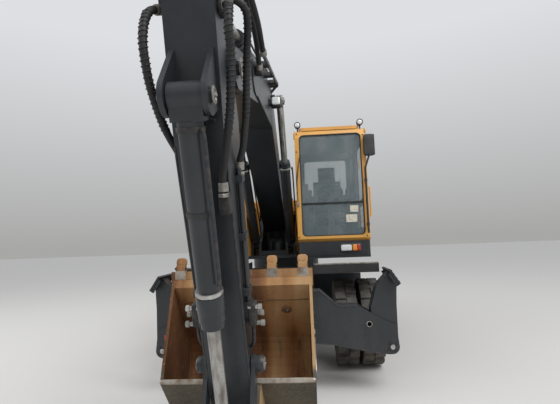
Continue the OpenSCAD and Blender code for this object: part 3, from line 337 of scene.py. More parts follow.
class Value:
    # a socket of a material's nodes, on which sums are written as sums
    def __init__(self, tree, socket):
        self.tree, self.socket = tree, socket

    def math(self, operation, other=None, flip=False, clamp=False):
        node = self.tree.nodes.new("ShaderNodeMath")
        node.operation, node.use_clamp = operation, clamp
        for k, item in enumerate([other, self] if flip else [self, other]):
            if isinstance(item, Value):
                self.tree.links.new(item.socket, node.inputs[k])
            elif item is not None:
                node.inputs[k].default_value = item
        return Value(self.tree, node.outputs[0])

    def __add__(self, o): return self.math("ADD", o)
    def __radd__(self, o): return self.math("ADD", o, True)
    def __sub__(self, o): return self.math("SUBTRACT", o)
    def __rsub__(self, o): return self.math("SUBTRACT", o, True)
    def __mul__(self, o): return self.math("MULTIPLY", o)
    def __rmul__(self, o): return self.math("MULTIPLY", o, True)
    def above(self, o): return self.math("GREATER_THAN", o)
    def sine(self): return self.math("SINE")
    def clamped(self): return self.math("ADD", 0.0, clamp=True)


def opaque(value):
    # a colour as the four numbers of its socket, anything else as it is
    return (*value, 1.0) if isinstance(value, tuple) and len(value) == 3 else value


class Finish:
    # one material: its nodes are made through node(), and its shader's sockets filled through put()
    def __init__(self, name):
        self.material = bpy.data.materials.new(name)
        self.material.use_nodes = True
        self.tree = self.material.node_tree
        self.shader = self.tree.nodes["Principled BSDF"]
        self.coords = self.node("ShaderNodeTexCoord", output="Object")
        self.x, self.y, self.z = self.split(self.coords)
        self.facing = self.split(self.node("ShaderNodeNewGeometry", output="Normal"))

    def fill(self, socket, value):
        if isinstance(value, Value):
            self.tree.links.new(value.socket, socket)
        else:
            socket.default_value = value

    def node(self, kind, settings=None, inputs=None, output=0):
        node = self.tree.nodes.new(kind)
        for key, value in (settings or {}).items():
            if key == "stops":
                elements = node.color_ramp.elements
                while len(elements) < len(value):
                    elements.new(1.0)
                for e, (place, colour) in zip(elements, value):
                    e.position, e.color = place, opaque(colour)
            else:
                setattr(node, key, value)
        for key, value in (inputs or {}).items():
            self.fill(node.inputs[key], value)
        return Value(self.tree, node.outputs[output])

    def split(self, vector):
        node = self.tree.nodes.new("ShaderNodeSeparateXYZ")
        self.fill(node.inputs[0], vector)
        return [Value(self.tree, node.outputs[k]) for k in range(3)]

    def noise(self, scale, detail=4.0, rough=0.55, stretch=None):
        place = self.coords
        if stretch:
            place = self.node("ShaderNodeMapping", inputs={0: place, "Scale": stretch})
        inputs = {"Vector": place, "Scale": scale, "Detail": detail, "Roughness": rough}
        return self.node("ShaderNodeTexNoise", inputs=inputs)

    def ramp(self, value, stops):
        return self.node("ShaderNodeValToRGB", {"stops": stops}, {0: value})

    def band(self, value, low, high):
        return self.node("ShaderNodeMapRange", {"clamp": True}, {0: value, 1: low, 2: high, 3: 0.0, 4: 1.0})

    def mix(self, factor, a, b):
        return self.node("ShaderNodeMix", {"data_type": "RGBA"}, {0: factor, 6: opaque(a), 7: opaque(b)}, 2)

    def bump(self, height, strength, distance=0.002):
        return self.node("ShaderNodeBump", inputs={"Height": height, "Strength": strength, "Distance": distance})

    def put(self, **sockets):
        names = {"colour": "Base Color", "roughness": "Roughness", "metallic": "Metallic", "normal": "Normal",
                 "coat": "Coat Weight", "coatRoughness": "Coat Roughness", "alpha": "Alpha",
                 "specular": "Specular IOR Level"}
        for key, value in sockets.items():
            self.fill(self.shader.inputs[names[key]], opaque(value))
        return self.material


cabRoom = {"low": (0.252, -1.347, 1.560), "high": (1.228, 0.268, 3.112), "middle": (0.740, -0.540, 2.300),
           "lining": (0.060, 0.066, 0.072), "liningPale": (0.095, 0.100, 0.105)}


def cabInside(f):
    # 1 on faces of the cab that look at its middle and lie inside its skin
    mask, toward = 1.0, 0.0
    room = zip((f.x, f.y, f.z), cabRoom["low"], cabRoom["high"], cabRoom["middle"], f.facing)
    for value, low, high, middle, n in room:
        mask = value.above(low) * (high - value).above(0.0) * mask
        toward = (value - middle) * n + toward
    return mask * (0.0 - toward).above(0.0)


paintLook = {"dust": (0.145, 0.120, 0.092), "bareSteel": (0.16, 0.15, 0.14), "fadeSize": 2.2, "chipSize": 26.0}


def paint(name, main, faded, gloss, dustAmount, lowDust=1.5, lined=False):
    # paint with soft fading, small chips at random, dust on what faces up and toward the ground
    f = Finish(name)
    cloud = f.noise(paintLook["fadeSize"], 5.0)
    fine = f.noise(38.0, 6.0, 0.65)
    streak = f.noise(5.0, 4.0, 0.6, (2.5, 2.5, 0.35))
    colour = f.mix(f.band(cloud, 0.38, 0.68), main, faded)
    lying = f.band(f.facing[2], 0.55, 0.98) * 0.75 + f.band(lowDust - f.z, 0.0, 1.2) * 0.55 + 0.10
    dust = (lying * f.band(fine * 0.55 + streak * 0.45, 0.40, 0.66) * dustAmount).clamped()
    colour = f.mix(dust, colour, paintLook["dust"])
    chips = f.band(f.noise(paintLook["chipSize"], 8.0, 0.72), 0.70, 0.73) * f.band(cloud, 0.45, 0.60) * 0.7
    colour = f.mix(chips, colour, paintLook["bareSteel"])
    rough = (dust * 0.45 + fine * 0.12 + gloss).clamped()
    if lined:
        inside = cabInside(f)
        colour = f.mix(inside, colour, f.mix(fine, cabRoom["lining"], cabRoom["liningPale"]))
        rough = (rough + inside * 0.35).clamped()
    return f.put(colour=colour, roughness=rough, coatRoughness=0.25,
                 normal=f.bump(fine * 0.4 + cloud * 0.6, 0.12))


steelLook = {
    "rust": [(0.40, (0.070, 0.030, 0.012)), (0.47, (0.190, 0.080, 0.028)), (0.53, (0.350, 0.175, 0.066)),
             (0.62, (0.45, 0.290, 0.140))],
    "streak": (0.050, 0.026, 0.014), "soilDark": (0.060, 0.050, 0.034), "soilPale": (0.135, 0.115, 0.080),
    "scratch": (0.42, 0.36, 0.30), "soilFront": (3.66, 3.72), "soilTopZ": 0.72,
}


def wornSteelFinish():
    # bare bucket steel: tan dust and rust with dark streaks that run down, soil on the outer face, scratches
    f = Finish("wornSteel")
    cloud = f.noise(3.0, 6.0, 0.6)
    streak = f.noise(7.0, 6.0, 0.62, (3.0, 1.2, 0.28))
    fine = f.noise(60.0, 6.0, 0.7)
    wide = f.noise(3.4, 3.0, 0.5, (1.0, 0.12, 0.16))
    colour = f.ramp(wide * 0.78 + cloud * 0.16 + fine * 0.06, steelLook["rust"])
    colour = f.mix(f.band(streak, 0.60, 0.72) * 0.55, colour, steelLook["streak"])
    outer = f.band(0.0 - f.y, *steelLook["soilFront"]) * f.band(steelLook["soilTopZ"] - f.z, 0.0, 0.04)
    outer = outer * f.band(0.0 - f.facing[1], 0.15, 0.35)
    soil = f.mix(f.band(cloud * 0.5 + fine * 0.5, 0.40, 0.60), steelLook["soilDark"], steelLook["soilPale"])
    colour = f.mix(outer, colour, soil)
    scratch = f.band(f.noise(22.0, 3.0, 0.5, (6.0, 6.0, 0.5)), 0.63, 0.68) * 0.5
    return f.put(colour=f.mix(scratch, colour, steelLook["scratch"]), metallic=(scratch * 0.7).clamped(),
                 roughness=(0.72 - scratch * 0.2 + fine * 0.15).clamped(),
                 normal=f.bump(fine * 0.5 + cloud * 0.5, 0.35, 0.004))


def rodFinish():
    # ground steel with a film of grease and dust
    f = Finish("rodSteel")
    wipe = f.noise(6.0, 5.0, 0.6, (4.0, 1.0, 1.0))
    fine = f.noise(90.0, 3.0)
    return f.put(colour=f.mix(f.band(wipe, 0.45, 0.68), (0.42, 0.41, 0.39), (0.17, 0.15, 0.13)), metallic=0.85,
                 roughness=(f.band(wipe, 0.4, 0.7) * 0.32 + 0.2 + fine * 0.05).clamped())


def machinedFinish():
    # turned steel, dulled in clouds
    f = Finish("machinedSteel")
    cloud = f.noise(9.0, 5.0)
    return f.put(colour=f.mix(f.band(cloud, 0.42, 0.66), (0.20, 0.19, 0.18), (0.13, 0.10, 0.075)), metallic=0.6,
                 roughness=(cloud * 0.3 + 0.42).clamped())


def rubberFinish(name, main, dusty, amount):
    # rubber, dustier in clouds and toward the ground
    f = Finish(name)
    fine = f.noise(120.0, 4.0, 0.6)
    clouds = f.band(f.noise(7.0, 6.0, 0.62) * 0.6 + fine * 0.4, 0.40, 0.62)
    mask = (clouds * (f.band(1.25 - f.z, 0.0, 1.3) * 0.5 + 0.5) * amount).clamped()
    return f.put(colour=f.mix(mask, main, dusty), roughness=(mask * 0.25 + 0.62).clamped(),
                 normal=f.bump(fine, 0.25, 0.001))


def glassFinish():
    # tinted glass with a smeared veil of dust
    f = Finish("windowGlass")
    veil = f.band(f.noise(4.0, 6.0, 0.6, (1.0, 1.0, 0.6)), 0.42, 0.72)
    return f.put(colour=f.mix(veil, (0.26, 0.34, 0.37), (0.40, 0.44, 0.45)), specular=1.0,
                 roughness=(veil * 0.10 + 0.02).clamped(), alpha=(veil * 0.08 + 0.24).clamped())


def plasticFinish(name, main, rough):
    # moulded plastic with a fine grain, dusty in clouds
    f = Finish(name)
    grain = f.noise(260.0, 2.0)
    dusty = f.band(f.noise(6.0, 4.0), 0.4, 0.75) * 0.5
    return f.put(colour=f.mix(dusty, main, (0.09, 0.08, 0.07)), roughness=(grain * 0.12 + rough).clamped(),
                 normal=f.bump(grain, 0.15, 0.0006))


def lensFinish(name, colour):
    # moulded lens: ribs in a fine wave, a little dust, a clear coat
    f = Finish(name)
    cloud = f.noise(30.0, 4.0)
    dull = tuple(c * 0.55 + 0.05 for c in colour)
    return f.put(colour=f.mix(f.band(cloud, 0.5, 0.75) * 0.3, colour, dull), coat=0.6, coatRoughness=0.1,
                 roughness=(cloud * 0.15 + 0.12).clamped(), normal=f.bump((f.x * 420.0).sine(), 0.25, 0.0006))


def plainFinish(name, colour, worn, rough, metal=0.0, scale=24.0):
    # a small part's own colour, clouded and worn to a second colour
    f = Finish(name)
    cloud = f.noise(scale, 6.0, 0.62)
    fine = f.noise(scale * 6, 3.0)
    return f.put(colour=f.mix(f.band(cloud, 0.45, 0.7), colour, worn), metallic=metal,
                 roughness=(fine * 0.2 + rough).clamped(), normal=f.bump(fine, 0.15, 0.0008))


def clothFinish(name, colour, second):
    # woven cloth: two crossed waves, faded where it is rubbed
    f = Finish(name)
    weave = (f.x * 2400.0).sine() * 0.5 + (f.y * 2400.0 + f.z * 2400.0).sine() * 0.5
    cloud = f.noise(9.0, 5.0)
    return f.put(colour=f.mix(f.band(cloud, 0.42, 0.7), colour, second), roughness=(cloud * 0.1 + 0.85).clamped(),
                 normal=f.bump(weave, 0.3, 0.0008))


look = {
    # those named after a slot of the record are also laid on the solids
    "charcoal_paint": paint("charcoalPaint", (0.0150, 0.0190, 0.0235), (0.024, 0.029, 0.035), 0.30, 0.38, 1.15),
    "orange_paint": paint("orangePaint", (0.74, 0.375, 0.075), (0.62, 0.325, 0.085), 0.30, 0.40, 1.9, True),
    "black_paint": paint("blackPaint", (0.014, 0.014, 0.016), (0.022, 0.022, 0.024), 0.42, 0.5, 1.5),
    "worn_steel": wornSteelFinish(), "rod_steel": rodFinish(), "machined_steel": machinedFinish(),
    "tyre_rubber": rubberFinish("tyreRubber", (0.030, 0.029, 0.028), (0.17, 0.15, 0.125), 0.9),
    "window_glass": glassFinish(),
    "black_plastic": plasticFinish("blackPlastic", (0.018, 0.018, 0.02), 0.5),
    "hose": rubberFinish("hoseRubber", (0.010, 0.010, 0.011), (0.045, 0.042, 0.038), 0.4),
    "seal": rubberFinish("sealRubber", (0.010, 0.010, 0.011), (0.05, 0.045, 0.04), 0.4),
    "white": lensFinish("whiteLens", (0.70, 0.72, 0.72)), "amber": lensFinish("amberLens", (0.80, 0.27, 0.02)),
    "red": lensFinish("redLens", (0.50, 0.02, 0.015)),
    "bright": plainFinish("brightSteel", (0.52, 0.52, 0.50), (0.30, 0.27, 0.24), 0.28, 0.9),
    "zinc": plainFinish("zincedSteel", (0.34, 0.33, 0.30), (0.16, 0.13, 0.10), 0.42, 0.75),
    "dark": plainFinish("darkBolt", (0.030, 0.031, 0.034), (0.085, 0.070, 0.055), 0.48, 0.3),
    "mirror": plainFinish("mirrorGlass", (0.62, 0.66, 0.68), (0.45, 0.47, 0.48), 0.06, 0.95, 6.0),
    "sticker": plainFinish("blankSticker", (0.66, 0.63, 0.52), (0.42, 0.38, 0.30), 0.45, 0.0, 40.0),
    "weld": plainFinish("paintedWeld", (0.020, 0.024, 0.030), (0.075, 0.062, 0.050), 0.42, 0.1),
    "rustWeld": plainFinish("rustyWeld", (0.20, 0.11, 0.055), (0.10, 0.055, 0.03), 0.7, 0.2),
    "polished": plainFinish("polishedEdge", (0.42, 0.38, 0.33), (0.22, 0.15, 0.10), 0.35, 0.8, 14.0),
    "seatCloth": clothFinish("seatCloth", (0.045, 0.046, 0.05), (0.085, 0.082, 0.078)),
    "screen": plainFinish("darkScreen", (0.02, 0.03, 0.035), (0.05, 0.06, 0.065), 0.08),
}
for part in frame["record"]["subparts"]:
    nodes[part["node"]].data.materials.clear()
    nodes[part["node"]].data.materials.append(look[part["material_slot"]])
print("finishes laid on the solids")


def dress(piece, finish, body):
    # the slot is the finish's own
    piece.data.materials.clear()
    piece.data.materials.append(look[finish])
    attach(piece, body)
    return piece


def bar(name, path, section, finish, body, closed=False, scale=None, angle=35):
    return dress(smooth(sweep(name, path, section, closed, scale), angle), finish, body)


def hoop(name, profile, centre, axis, sides, finish, body):
    return dress(smooth(turned(name, profile, centre, axis, sides, True)), finish, body)


def knob(name, profile, centre, axis, sides, finish, body, angle=35):
    return dress(smooth(turned(name, profile, centre, axis, sides), angle), finish, body)


def dots(name, shape, places, axes, sizes, finish, body):
    return dress(stamp(name, shape, places, axes, sizes), finish, body)


def slab(name, centre, facing, size, power, finish, body, grid=18, crown=0.25):
    return dress(pillow(name, centre, *facing, *size, power, grid, crown), finish, body)


view = {"place": (0.3731, -6.8742, 1.584), "yaw": 3.673, "pitch": 5.439, "roll": -2.071, "lens": 25.83}


def setCamera():
    yaw, pitch, roll = (math.radians(view[k]) for k in ("yaw", "pitch", "roll"))
    right = Vector((math.cos(yaw), math.sin(yaw), 0))
    ahead = Vector((-math.sin(yaw) * math.cos(pitch), math.cos(yaw) * math.cos(pitch), math.sin(pitch)))
    up = right.cross(ahead)
    r = right * math.cos(roll) + up * math.sin(roll)
    u = up * math.cos(roll) - right * math.sin(roll)
    m = Matrix((r, u, -ahead)).transposed().to_4x4()
    m.translation = Vector(view["place"])
    data = bpy.data.cameras.new("view")
    data.lens, data.sensor_width, data.sensor_fit = view["lens"], 36.0, "HORIZONTAL"
    data.clip_end = 200
    camera = bpy.data.objects.new("view", data)
    camera.matrix_world = m
    scene.collection.objects.link(camera)
    scene.camera = camera


studio = {
    "floorColour": (0.62, 0.61, 0.59), "floorSize": 60.0, "skyStrength": 0.78, "lampStrength": 1.1,
    "skyStops": ((0.0, (0.50, 0.50, 0.49)), (0.45, (0.93, 0.95, 0.98))), "lampsLookAt": (0, -2, 1.5),
    # name, place, size, power
    "lamps": (("keySoft", (6, -9, 11), 7, 900), ("fillSoft", (-9, -4, 8), 8, 380)),
}


def setStudio():
    floor = meshFrom("floor", [(-1, -1, 0), (1, -1, 0), (1, 1, 0), (-1, 1, 0)], [(0, 1, 2, 3)])
    floor.data.transform(Matrix.Scale(studio["floorSize"], 4))
    floor.data.materials.append(Finish("floorMatt").put(colour=studio["floorColour"], roughness=0.9))
    world = bpy.data.worlds.new("softSky")
    world.use_nodes = True
    tree = world.node_tree
    kinds = ("TexCoord", "SeparateXYZ", "ValToRGB")
    coords, split, ramp = (tree.nodes.new("ShaderNode" + kind) for kind in kinds)
    tree.links.new(coords.outputs["Generated"], split.inputs[0])
    for element, (place, colour) in zip(ramp.color_ramp.elements, studio["skyStops"]):
        element.position, element.color = place, opaque(colour)
    tree.links.new(split.outputs[2], ramp.inputs[0])
    background = tree.nodes["Background"]
    tree.links.new(ramp.outputs[0], background.inputs[0])
    background.inputs[1].default_value = studio["skyStrength"]
    scene.world = world
    for name, place, size, power in studio["lamps"]:
        lamp = bpy.data.lights.new(name, "AREA")
        lamp.size, lamp.energy = size, power * studio["lampStrength"]
        holder = bpy.data.objects.new(name, lamp)
        holder.location = place
        way = Vector(studio["lampsLookAt"]) - Vector(place)
        holder.rotation_euler = way.to_track_quat("-Z", "Y").to_euler()
        scene.collection.objects.link(holder)
    scene.view_settings.view_transform = "Standard"


setCamera()
setStudio()
print("camera, floor and light set")

pins = {
    # body: [pin, half the width over its caps, cap radius]
    "boom": [("boomHead", 0.186, 0.060), ("crowdFoot", 0.132, 0.050)],
    "arm": [("curlFoot", 0.124, 0.044), ("crowdEye", 0.146, 0.044)],
    "rocker": [("rockerFoot", 0.214, 0.040), ("curlEye", 0.184, 0.034)],
    "bucket": [("armHead", 0.182, 0.050), ("linkEnd", 0.184, 0.040)],
    "boom_rods": [("liftEye", 0.319, 0.042)],
    "upper": [("boomFoot", 0.240, 0.064), ("liftFoot", 0.339, 0.050)],
}
pinBolt = {"offset": 0.72, "size": 0.19}  # shares of the cap's radius
for body, items in pins.items():
    ends = [(side, item) for item in items for side in (-1, 1)]
    places = np.array([at(machine["boomX"] + side * half, pinPlace[pin]) for side, (pin, half, _) in ends])
    axes = [(side, 0, 0) for side, _ in ends]
    sizes = np.array([radius for _, (_, _, radius) in ends])
    dots("pinCaps_" + body, "cap", places, axes, sizes, "zinc", body)
    places = places + np.array([[0, pinBolt["offset"], 0]]) * sizes[:, None]
    dots("pinBolts_" + body, "bolt", places, axes, sizes * pinBolt["size"], "dark", body)
print("pins capped")


def armFront(a):
    # the arm's sloping front edge
    return 0.3528 - 0.1519 * (a - 0.330)


def kneeEdge(s):
    # lower edge of the boom's fore part, which is the other common tangent of its circles
    return 0.6550 - 0.2572 * (s - 2.319)


welds = {
    # name: [body, its own places, points of the line on the right side]
    "armEdge": ["arm", armAt, [(machine["armWidth"] / 2, a, armFront(a)) for a in (0.42, 1.2, 1.98)]],
    "boomEdge": ["boom", boomAt, [(machine["boomWidth"] / 2, s, kneeEdge(s)) for s in (2.45, 3.1, 3.75)]],
    "lugRoot": ["arm", armAt, [(x, a, armFront(0.33) + 0.002) for x, a in ((0.048, 0.27), (0.094, 0.30))]],
}
for name, (body, place, points) in welds.items():
    for side, sign in (("Left", -1), ("Right", 1)):
        line = [place(sign * x, a, n) for x, a, n in points]
        dress(bead("weld_" + name + side, line, 0.006, 0.014), "weld", body)

bowl = {
    # the bucket's inside: an arc about its middle, the floor plate from it to the cutting edge
    "middle": (0.340, 0.370), "radius": 0.276, "start": (0.205, 0.10), "end": (0.860, 0.075),
    "floorFrom": math.radians(35.4), "floorEnd": (0.8888, -0.040), "weldX": 0.520,
    "seam": 0.66, "seamX": 0.515, "bossX": 0.335, "bossShare": 0.50,
    "boss": [[0.040, -0.004], [0.040, 0.006], [0.030, 0.011], [0.018, 0.012], [0.015, 0.004]],
}


def bowlArc(angles):
    # the bowl's middle plus its radius times the cosine and sine
    angles = np.asarray(angles)
    return np.array(bowl["middle"]) + bowl["radius"] * np.stack([np.cos(angles), np.sin(angles)], -1)


def floorAt(x, share, lift=0.0):
    # place on the bucket's inner floor: share runs from the bowl's end to the cutting edge
    start = bowlArc(bowl["floorFrom"])
    way = np.array(bowl["floorEnd"]) - start
    normal = np.array([-way[1], way[0]]) / np.linalg.norm(way)
    return bucketAt(x, *(start + way * share - normal * lift))


bowlLine = np.vstack([[bowl["start"]], bowlArc(np.radians(np.linspace(180, 38, 40))), [bowl["end"]]])
for side, sign in (("left", -1), ("right", 1)):
    line = [bucketAt(sign * bowl["weldX"], p, q) for p, q in bowlLine]
    dress(bead("bucketCornerWeld_" + side, line, 0.008, 0.018), "rustWeld", "bucket")
line = [floorAt(x, bowl["seam"]) for x in (-bowl["seamX"], 0.0, bowl["seamX"])]
dress(bead("bucketCrossWeld", line, 0.005, 0.016), "rustWeld", "bucket")
bossWay = floorAt(0, 0, 1.0) - floorAt(0, 0, 0.0)
bossSpot = (bowl["bossX"], bowl["bossShare"])
knob("bucketBoss", bowl["boss"], floorAt(*bossSpot), bossWay, 32, "rustWeld", "bucket")
dots("bucketBossBolt", "bolt", [floorAt(*bossSpot, 0.004)], bossWay, 0.013, "zinc", "bucket")
print("welds laid")

cylinders = {
    # name: [body, foot, eye, x from the boom's middle, barrel length, gland length, barrel radius, pipe's side]
    "liftLeft": ["boom_barrels", "liftFoot", "liftEye", -0.270, 1.560, 0.090, 0.066, (1.0, 0, 0)],
    "liftRight": ["boom_barrels", "liftFoot", "liftEye", 0.270, 1.560, 0.090, 0.066, (1.0, 0, 0)],
    "crowd": ["arm_barrel", "crowdFoot", "crowdEye", 0.0, 1.540, 0.090, 0.068, (1.0, 0, 0)],
    "curl": ["bucket_barrel", "curlFoot", "curlEye", 0.0, 1.190, 0.210, 0.062, (0.8, -0.6, 0.0)],
}
cylinderLook = {
    # profiles as [radius over the barrel's, distance]
    "gland": [[0.0, -0.004], [0.0105, -0.004], [0.012, 0.0], [0.012, 0.016], [0.0095, 0.020], [0.0, 0.020]],
    "band": [[0.0, 0.0], [0.006, 0.0], [0.007, 0.004], [0.007, 0.022], [0.006, 0.026], [0.0, 0.026]],
    "footBand": 0.135, "middleBand": 0.46, "boltSize": 0.0055, "pipeRadius": 0.010, "pipeStand": 0.016,
    "sleeve": [[0.0625, 0.022], [0.073, 0.024], [0.074, 0.030], [0.074, 0.118], [0.072, 0.122], [0.0625, 0.123]],
    "sleeveAt": 0.980,
}


def cylinderLine(foot, eye, x):
    # a cylinder's foot pin and the unit direction to its eye
    a, b = (at(machine["boomX"] + x, np.asarray(pinPlace[pin])) for pin in (foot, eye))
    return a, (b - a) / np.linalg.norm(b - a)


for name, (body, foot, eye, x, length, gland, radius, side) in cylinders.items():
    a, d = cylinderLine(foot, eye, x)
    over = [radius, 0]
    hoop("glandRing_" + name, np.add(cylinderLook["gland"], over), a + d * (length - gland), d, 40,
         "bright", body)
    u, v, _ = basis([d])
    c, s = circle(1.0, 8).T
    spots = a + d * (length - gland * 0.4 - 0.001) + (radius + 0.004) * 0.93 * (c[:, None] * u + s[:, None] * v)
    dots("glandBolts_" + name, "bolt", spots, d, cylinderLook["boltSize"], "dark", body)
    for k, s in enumerate((cylinderLook["footBand"], length * cylinderLook["middleBand"])):
        hoop("barrelBand%d_%s" % (k, name), np.add(cylinderLook["band"], over), a + d * s, d, 40,
             "dark", body)
    stand = np.array(side) * (radius + cylinderLook["pipeStand"])
    run = length - gland
    bends = ((0.16, 1), (0.22, 1.18), (0.40, 1.18), (run - 0.10, 1.18), (run - 0.03, 1.05))
    path = curved([a + d * s + stand * f for s, f in bends], 10)
    bar("barrelPipe_" + name, path, circle(cylinderLook["pipeRadius"], 12), "weld", body)
print("cylinders dressed")

hoseRoutes = {
    "hoseLeft": [(-0.150, 0.575, 0.104), (-0.150, 0.520, 0.108), (-0.168, 0.440, 0.190), (-0.190, 0.310, 0.300),
                 (-0.200, 0.140, 0.400), (-0.202, 0.005, 0.436), (-0.202, -0.095, 0.434), (-0.200, -0.190, 0.385),
                 (-0.190, -0.243, 0.325), (-0.150, -0.262, 0.262)],
    "hoseRight": [(0.102, 0.660, 0.330), (0.103, 0.580, 0.334), (0.130, 0.480, 0.365), (0.180, 0.256, 0.415),
                  (0.200, 0.020, 0.400), (0.202, -0.102, 0.424), (0.202, -0.190, 0.394), (0.190, -0.243, 0.325),
                  (0.150, -0.262, 0.262)],
    "hoseOuter": [(0.150, 0.575, 0.060), (0.154, 0.520, 0.062), (0.180, 0.440, 0.072), (0.210, 0.240, 0.070),
                  (0.232, -0.030, 0.070), (0.256, -0.200, 0.130), (0.250, -0.270, 0.158), (0.205, -0.310, 0.172),
                  (0.150, -0.318, 0.176)],
}
hoseLook = {
    "radius": 0.020, "step": 0.004, "guardPitch": 0.025, "guardRadius": 0.0036, "guardLift": 0.002,
    "bareFrom": 0.30, "bareTo": 0.10, "nutBack": 0.03, "nutSize": 0.028,
}


def collar(bore):
    # profile of the sleeve at a hose's end
    return [[bore, 0.0], [0.026, 0.0], [0.027, 0.004], [0.027, 0.040], [0.025, 0.046], [bore, 0.046]]


for name, route in hoseRoutes.items():
    line = along(curved([armAt(*p) for p in route], 12), hoseLook["step"])
    bar(name, line[::4], circle(hoseLook["radius"], 16), "hose", "arm", angle=0)
    whole = np.linalg.norm(np.diff(line, axis=0), axis=1).sum()
    t, n, b = frames(line)
    s = np.arange(len(line)) * hoseLook["step"]
    # guard: a helix about the hose, point = line + r * (cos(2 pi s / pitch) * normal + sin(..) * binormal)
    phase = 2 * pi * s / hoseLook["guardPitch"]
    coil = np.cos(phase)[:, None] * n + np.sin(phase)[:, None] * b
    coil = line + (hoseLook["radius"] + hoseLook["guardLift"]) * coil
    coil = coil[(s > hoseLook["bareFrom"]) & (s < whole - hoseLook["bareTo"])]
    bar(name + "_guard", coil, circle(hoseLook["guardRadius"], 6), "hose", "arm", angle=0)
    for k, (end, way) in enumerate(((line[0], t[0]), (line[-1], -t[-1]))):
        end = end + way * 0.002
        hoop("%s_collar%d" % (name, k), collar(0.0205), end, way, 28, "zinc", "arm")
        dots("%s_nut%d" % (name, k), "nut", [end - way * hoseLook["nutBack"]], [way], hoseLook["nutSize"],
             "zinc", "arm")

armBlocks = {
    # name: [place x, distance, offset, size x, along, off, finish]
    "hoseBlockRight": [0.102, 0.720, armFront(0.720) + 0.020, 0.062, 0.130, 0.052, "dark"],
    "bulkheadLeft": [-0.146, -0.285, 0.235, 0.036, 0.100, 0.110, "dark"],
    "bulkheadRight": [0.146, -0.285, 0.215, 0.036, 0.120, 0.160, "dark"],
    "valveLeft": [-0.172, 1.450, 0.075, 0.056, 0.150, 0.080, "dark"],
    "valveRight": [0.172, 1.450, 0.075, 0.056, 0.150, 0.080, "dark"],
    "valveFootLeft": [-0.146, 1.450, 0.070, 0.034, 0.110, 0.060, "charcoal_paint"],
    "valveFootRight": [0.146, 1.450, 0.070, 0.034, 0.110, 0.060, "charcoal_paint"],
}
for name, (x, a, n, w, l, h, finish) in armBlocks.items():
    dress(brick(name, armAt(x, a, n), (w, l, h), armAxes), finish, "arm")
valve = {
    "plug": [[0.010, -0.030], [0.017, -0.030], [0.0175, -0.012], [0.014, -0.010], [0.0145, 0.030], [0.020, 0.032],
             [0.020, 0.052], [0.014, 0.056]],
    "plugsAt": ((0.178, 1.400, 0.098, "bright"), (0.184, 1.455, 0.060, "zinc"), (0.190, 1.505, 0.092, "zinc")),
    "tail": ((0.172, 1.515, 0.078), (0.172, 1.600, 0.080), (0.160, 1.660, 0.060), (0.142, 1.690, 0.040)),
    "boss": [[0.030, -0.034], [0.052, -0.034], [0.053, -0.006], [0.050, -0.001], [0.041, 0.0]], "bossX": 0.2135,
}
for side, sign in (("Left", -1), ("Right", 1)):
    for k, (x, a, n, finish) in enumerate(valve["plugsAt"]):
        knob("valvePlug%s%d" % (side, k), valve["plug"], armAt(sign * x, a, n), (sign, 0, 0), 20, finish, "arm")
    tail = curved([armAt(sign * x, a, n) for x, a, n in valve["tail"]], 8)
    bar("valveTail" + side, tail, circle(0.011, 12), "dark", "arm")
    bossPlace = at(machine["boomX"] + sign * valve["bossX"], pinPlace["rockerFoot"])
    knob("rockerBoss" + side, valve["boss"], bossPlace, (sign, 0, 0), 36, "charcoal_paint", "rocker")
a, d = cylinderLine("curlFoot", "curlEye", 0.0)
place = a + d * cylinderLook["sleeveAt"]
hoop("curlSleeve", cylinderLook["sleeve"], place, d, 44, "charcoal_paint", "bucket_barrel")
print("hoses dressed")

teeth = {
    "angle": math.radians(31.8), "x": (np.arange(5) - 2) * (machine["bucketWidth"] - 0.130) / 4,
    "edge": (0.920, 0.020), "adapters": (("Over", 0.004, (-1, 0, 0)), ("Under", 0.0333, (1, 0, 0))),
    "adapter": (0.086, 0.100, 0.022), "pinHalf": 0.0375, "headPlace": (1.058, 0.006),
    "pins": (0.020, 0.085), "pinSize": 0.009, "adapterAt": 0.022, "head": (0.082, 0.070, 0.050),
    "lipPlace": (0.188, 0.016), "lip": (1.086, 0.034, 0.032),
}


def edgeAt(x, y, z):
    # place at the cutting edge: y stands off the floor plate, z runs toward the teeth
    c, s = math.cos(teeth["angle"]), math.sin(teeth["angle"])
    p, q = teeth["edge"]
    return bucketAt(x, p + y * s + z * c, q + y * c - z * s)


forward = edgeAt(0, 0, 1) - edgeAt(0, 0, 0)
for k, x in enumerate(teeth["x"]):
    for part, y, across in teeth["adapters"]:
        slab("toothAdapter%s%d" % (part, k), edgeAt(x, y, teeth["adapterAt"]), (across, forward),
             teeth["adapter"], 5.0, "polished", "bucket", grid=8)
lip = brick("bucketLip", bucketAt(0, *teeth["lipPlace"]), teeth["lip"], bucketAxes, 9.0)
dress(lip, "polished", "bucket")
for k, x in enumerate(teeth["x"]):
    head = brick("toothHead%d" % k, bucketAt(x, *teeth["headPlace"]), teeth["head"], bucketAxes, 3.2)
    dress(head, "worn_steel", "bucket")
ends = [(x, sign) for x in teeth["x"] for sign in (-1, 1)]
dots("toothPins", "bolt", [edgeAt(x + sign * teeth["pinHalf"], *teeth["pins"]) for x, sign in ends],
     [(sign, 0, 0) for _, sign in ends], teeth["pinSize"], "dark", "bucket")
bucketSide = {
    "boltX": 0.546, "bolts": ((0.70, 0.30), (0.64, 0.38), (0.56, 0.46)), "boltSize": 0.013,
    "stripX": 0.551, "strip": ((0.30, 0.640), (0.42, 0.655), (0.53, 0.600), (0.60, 0.500)),
    "stripSection": (0.012, 0.050, 0.004),
}
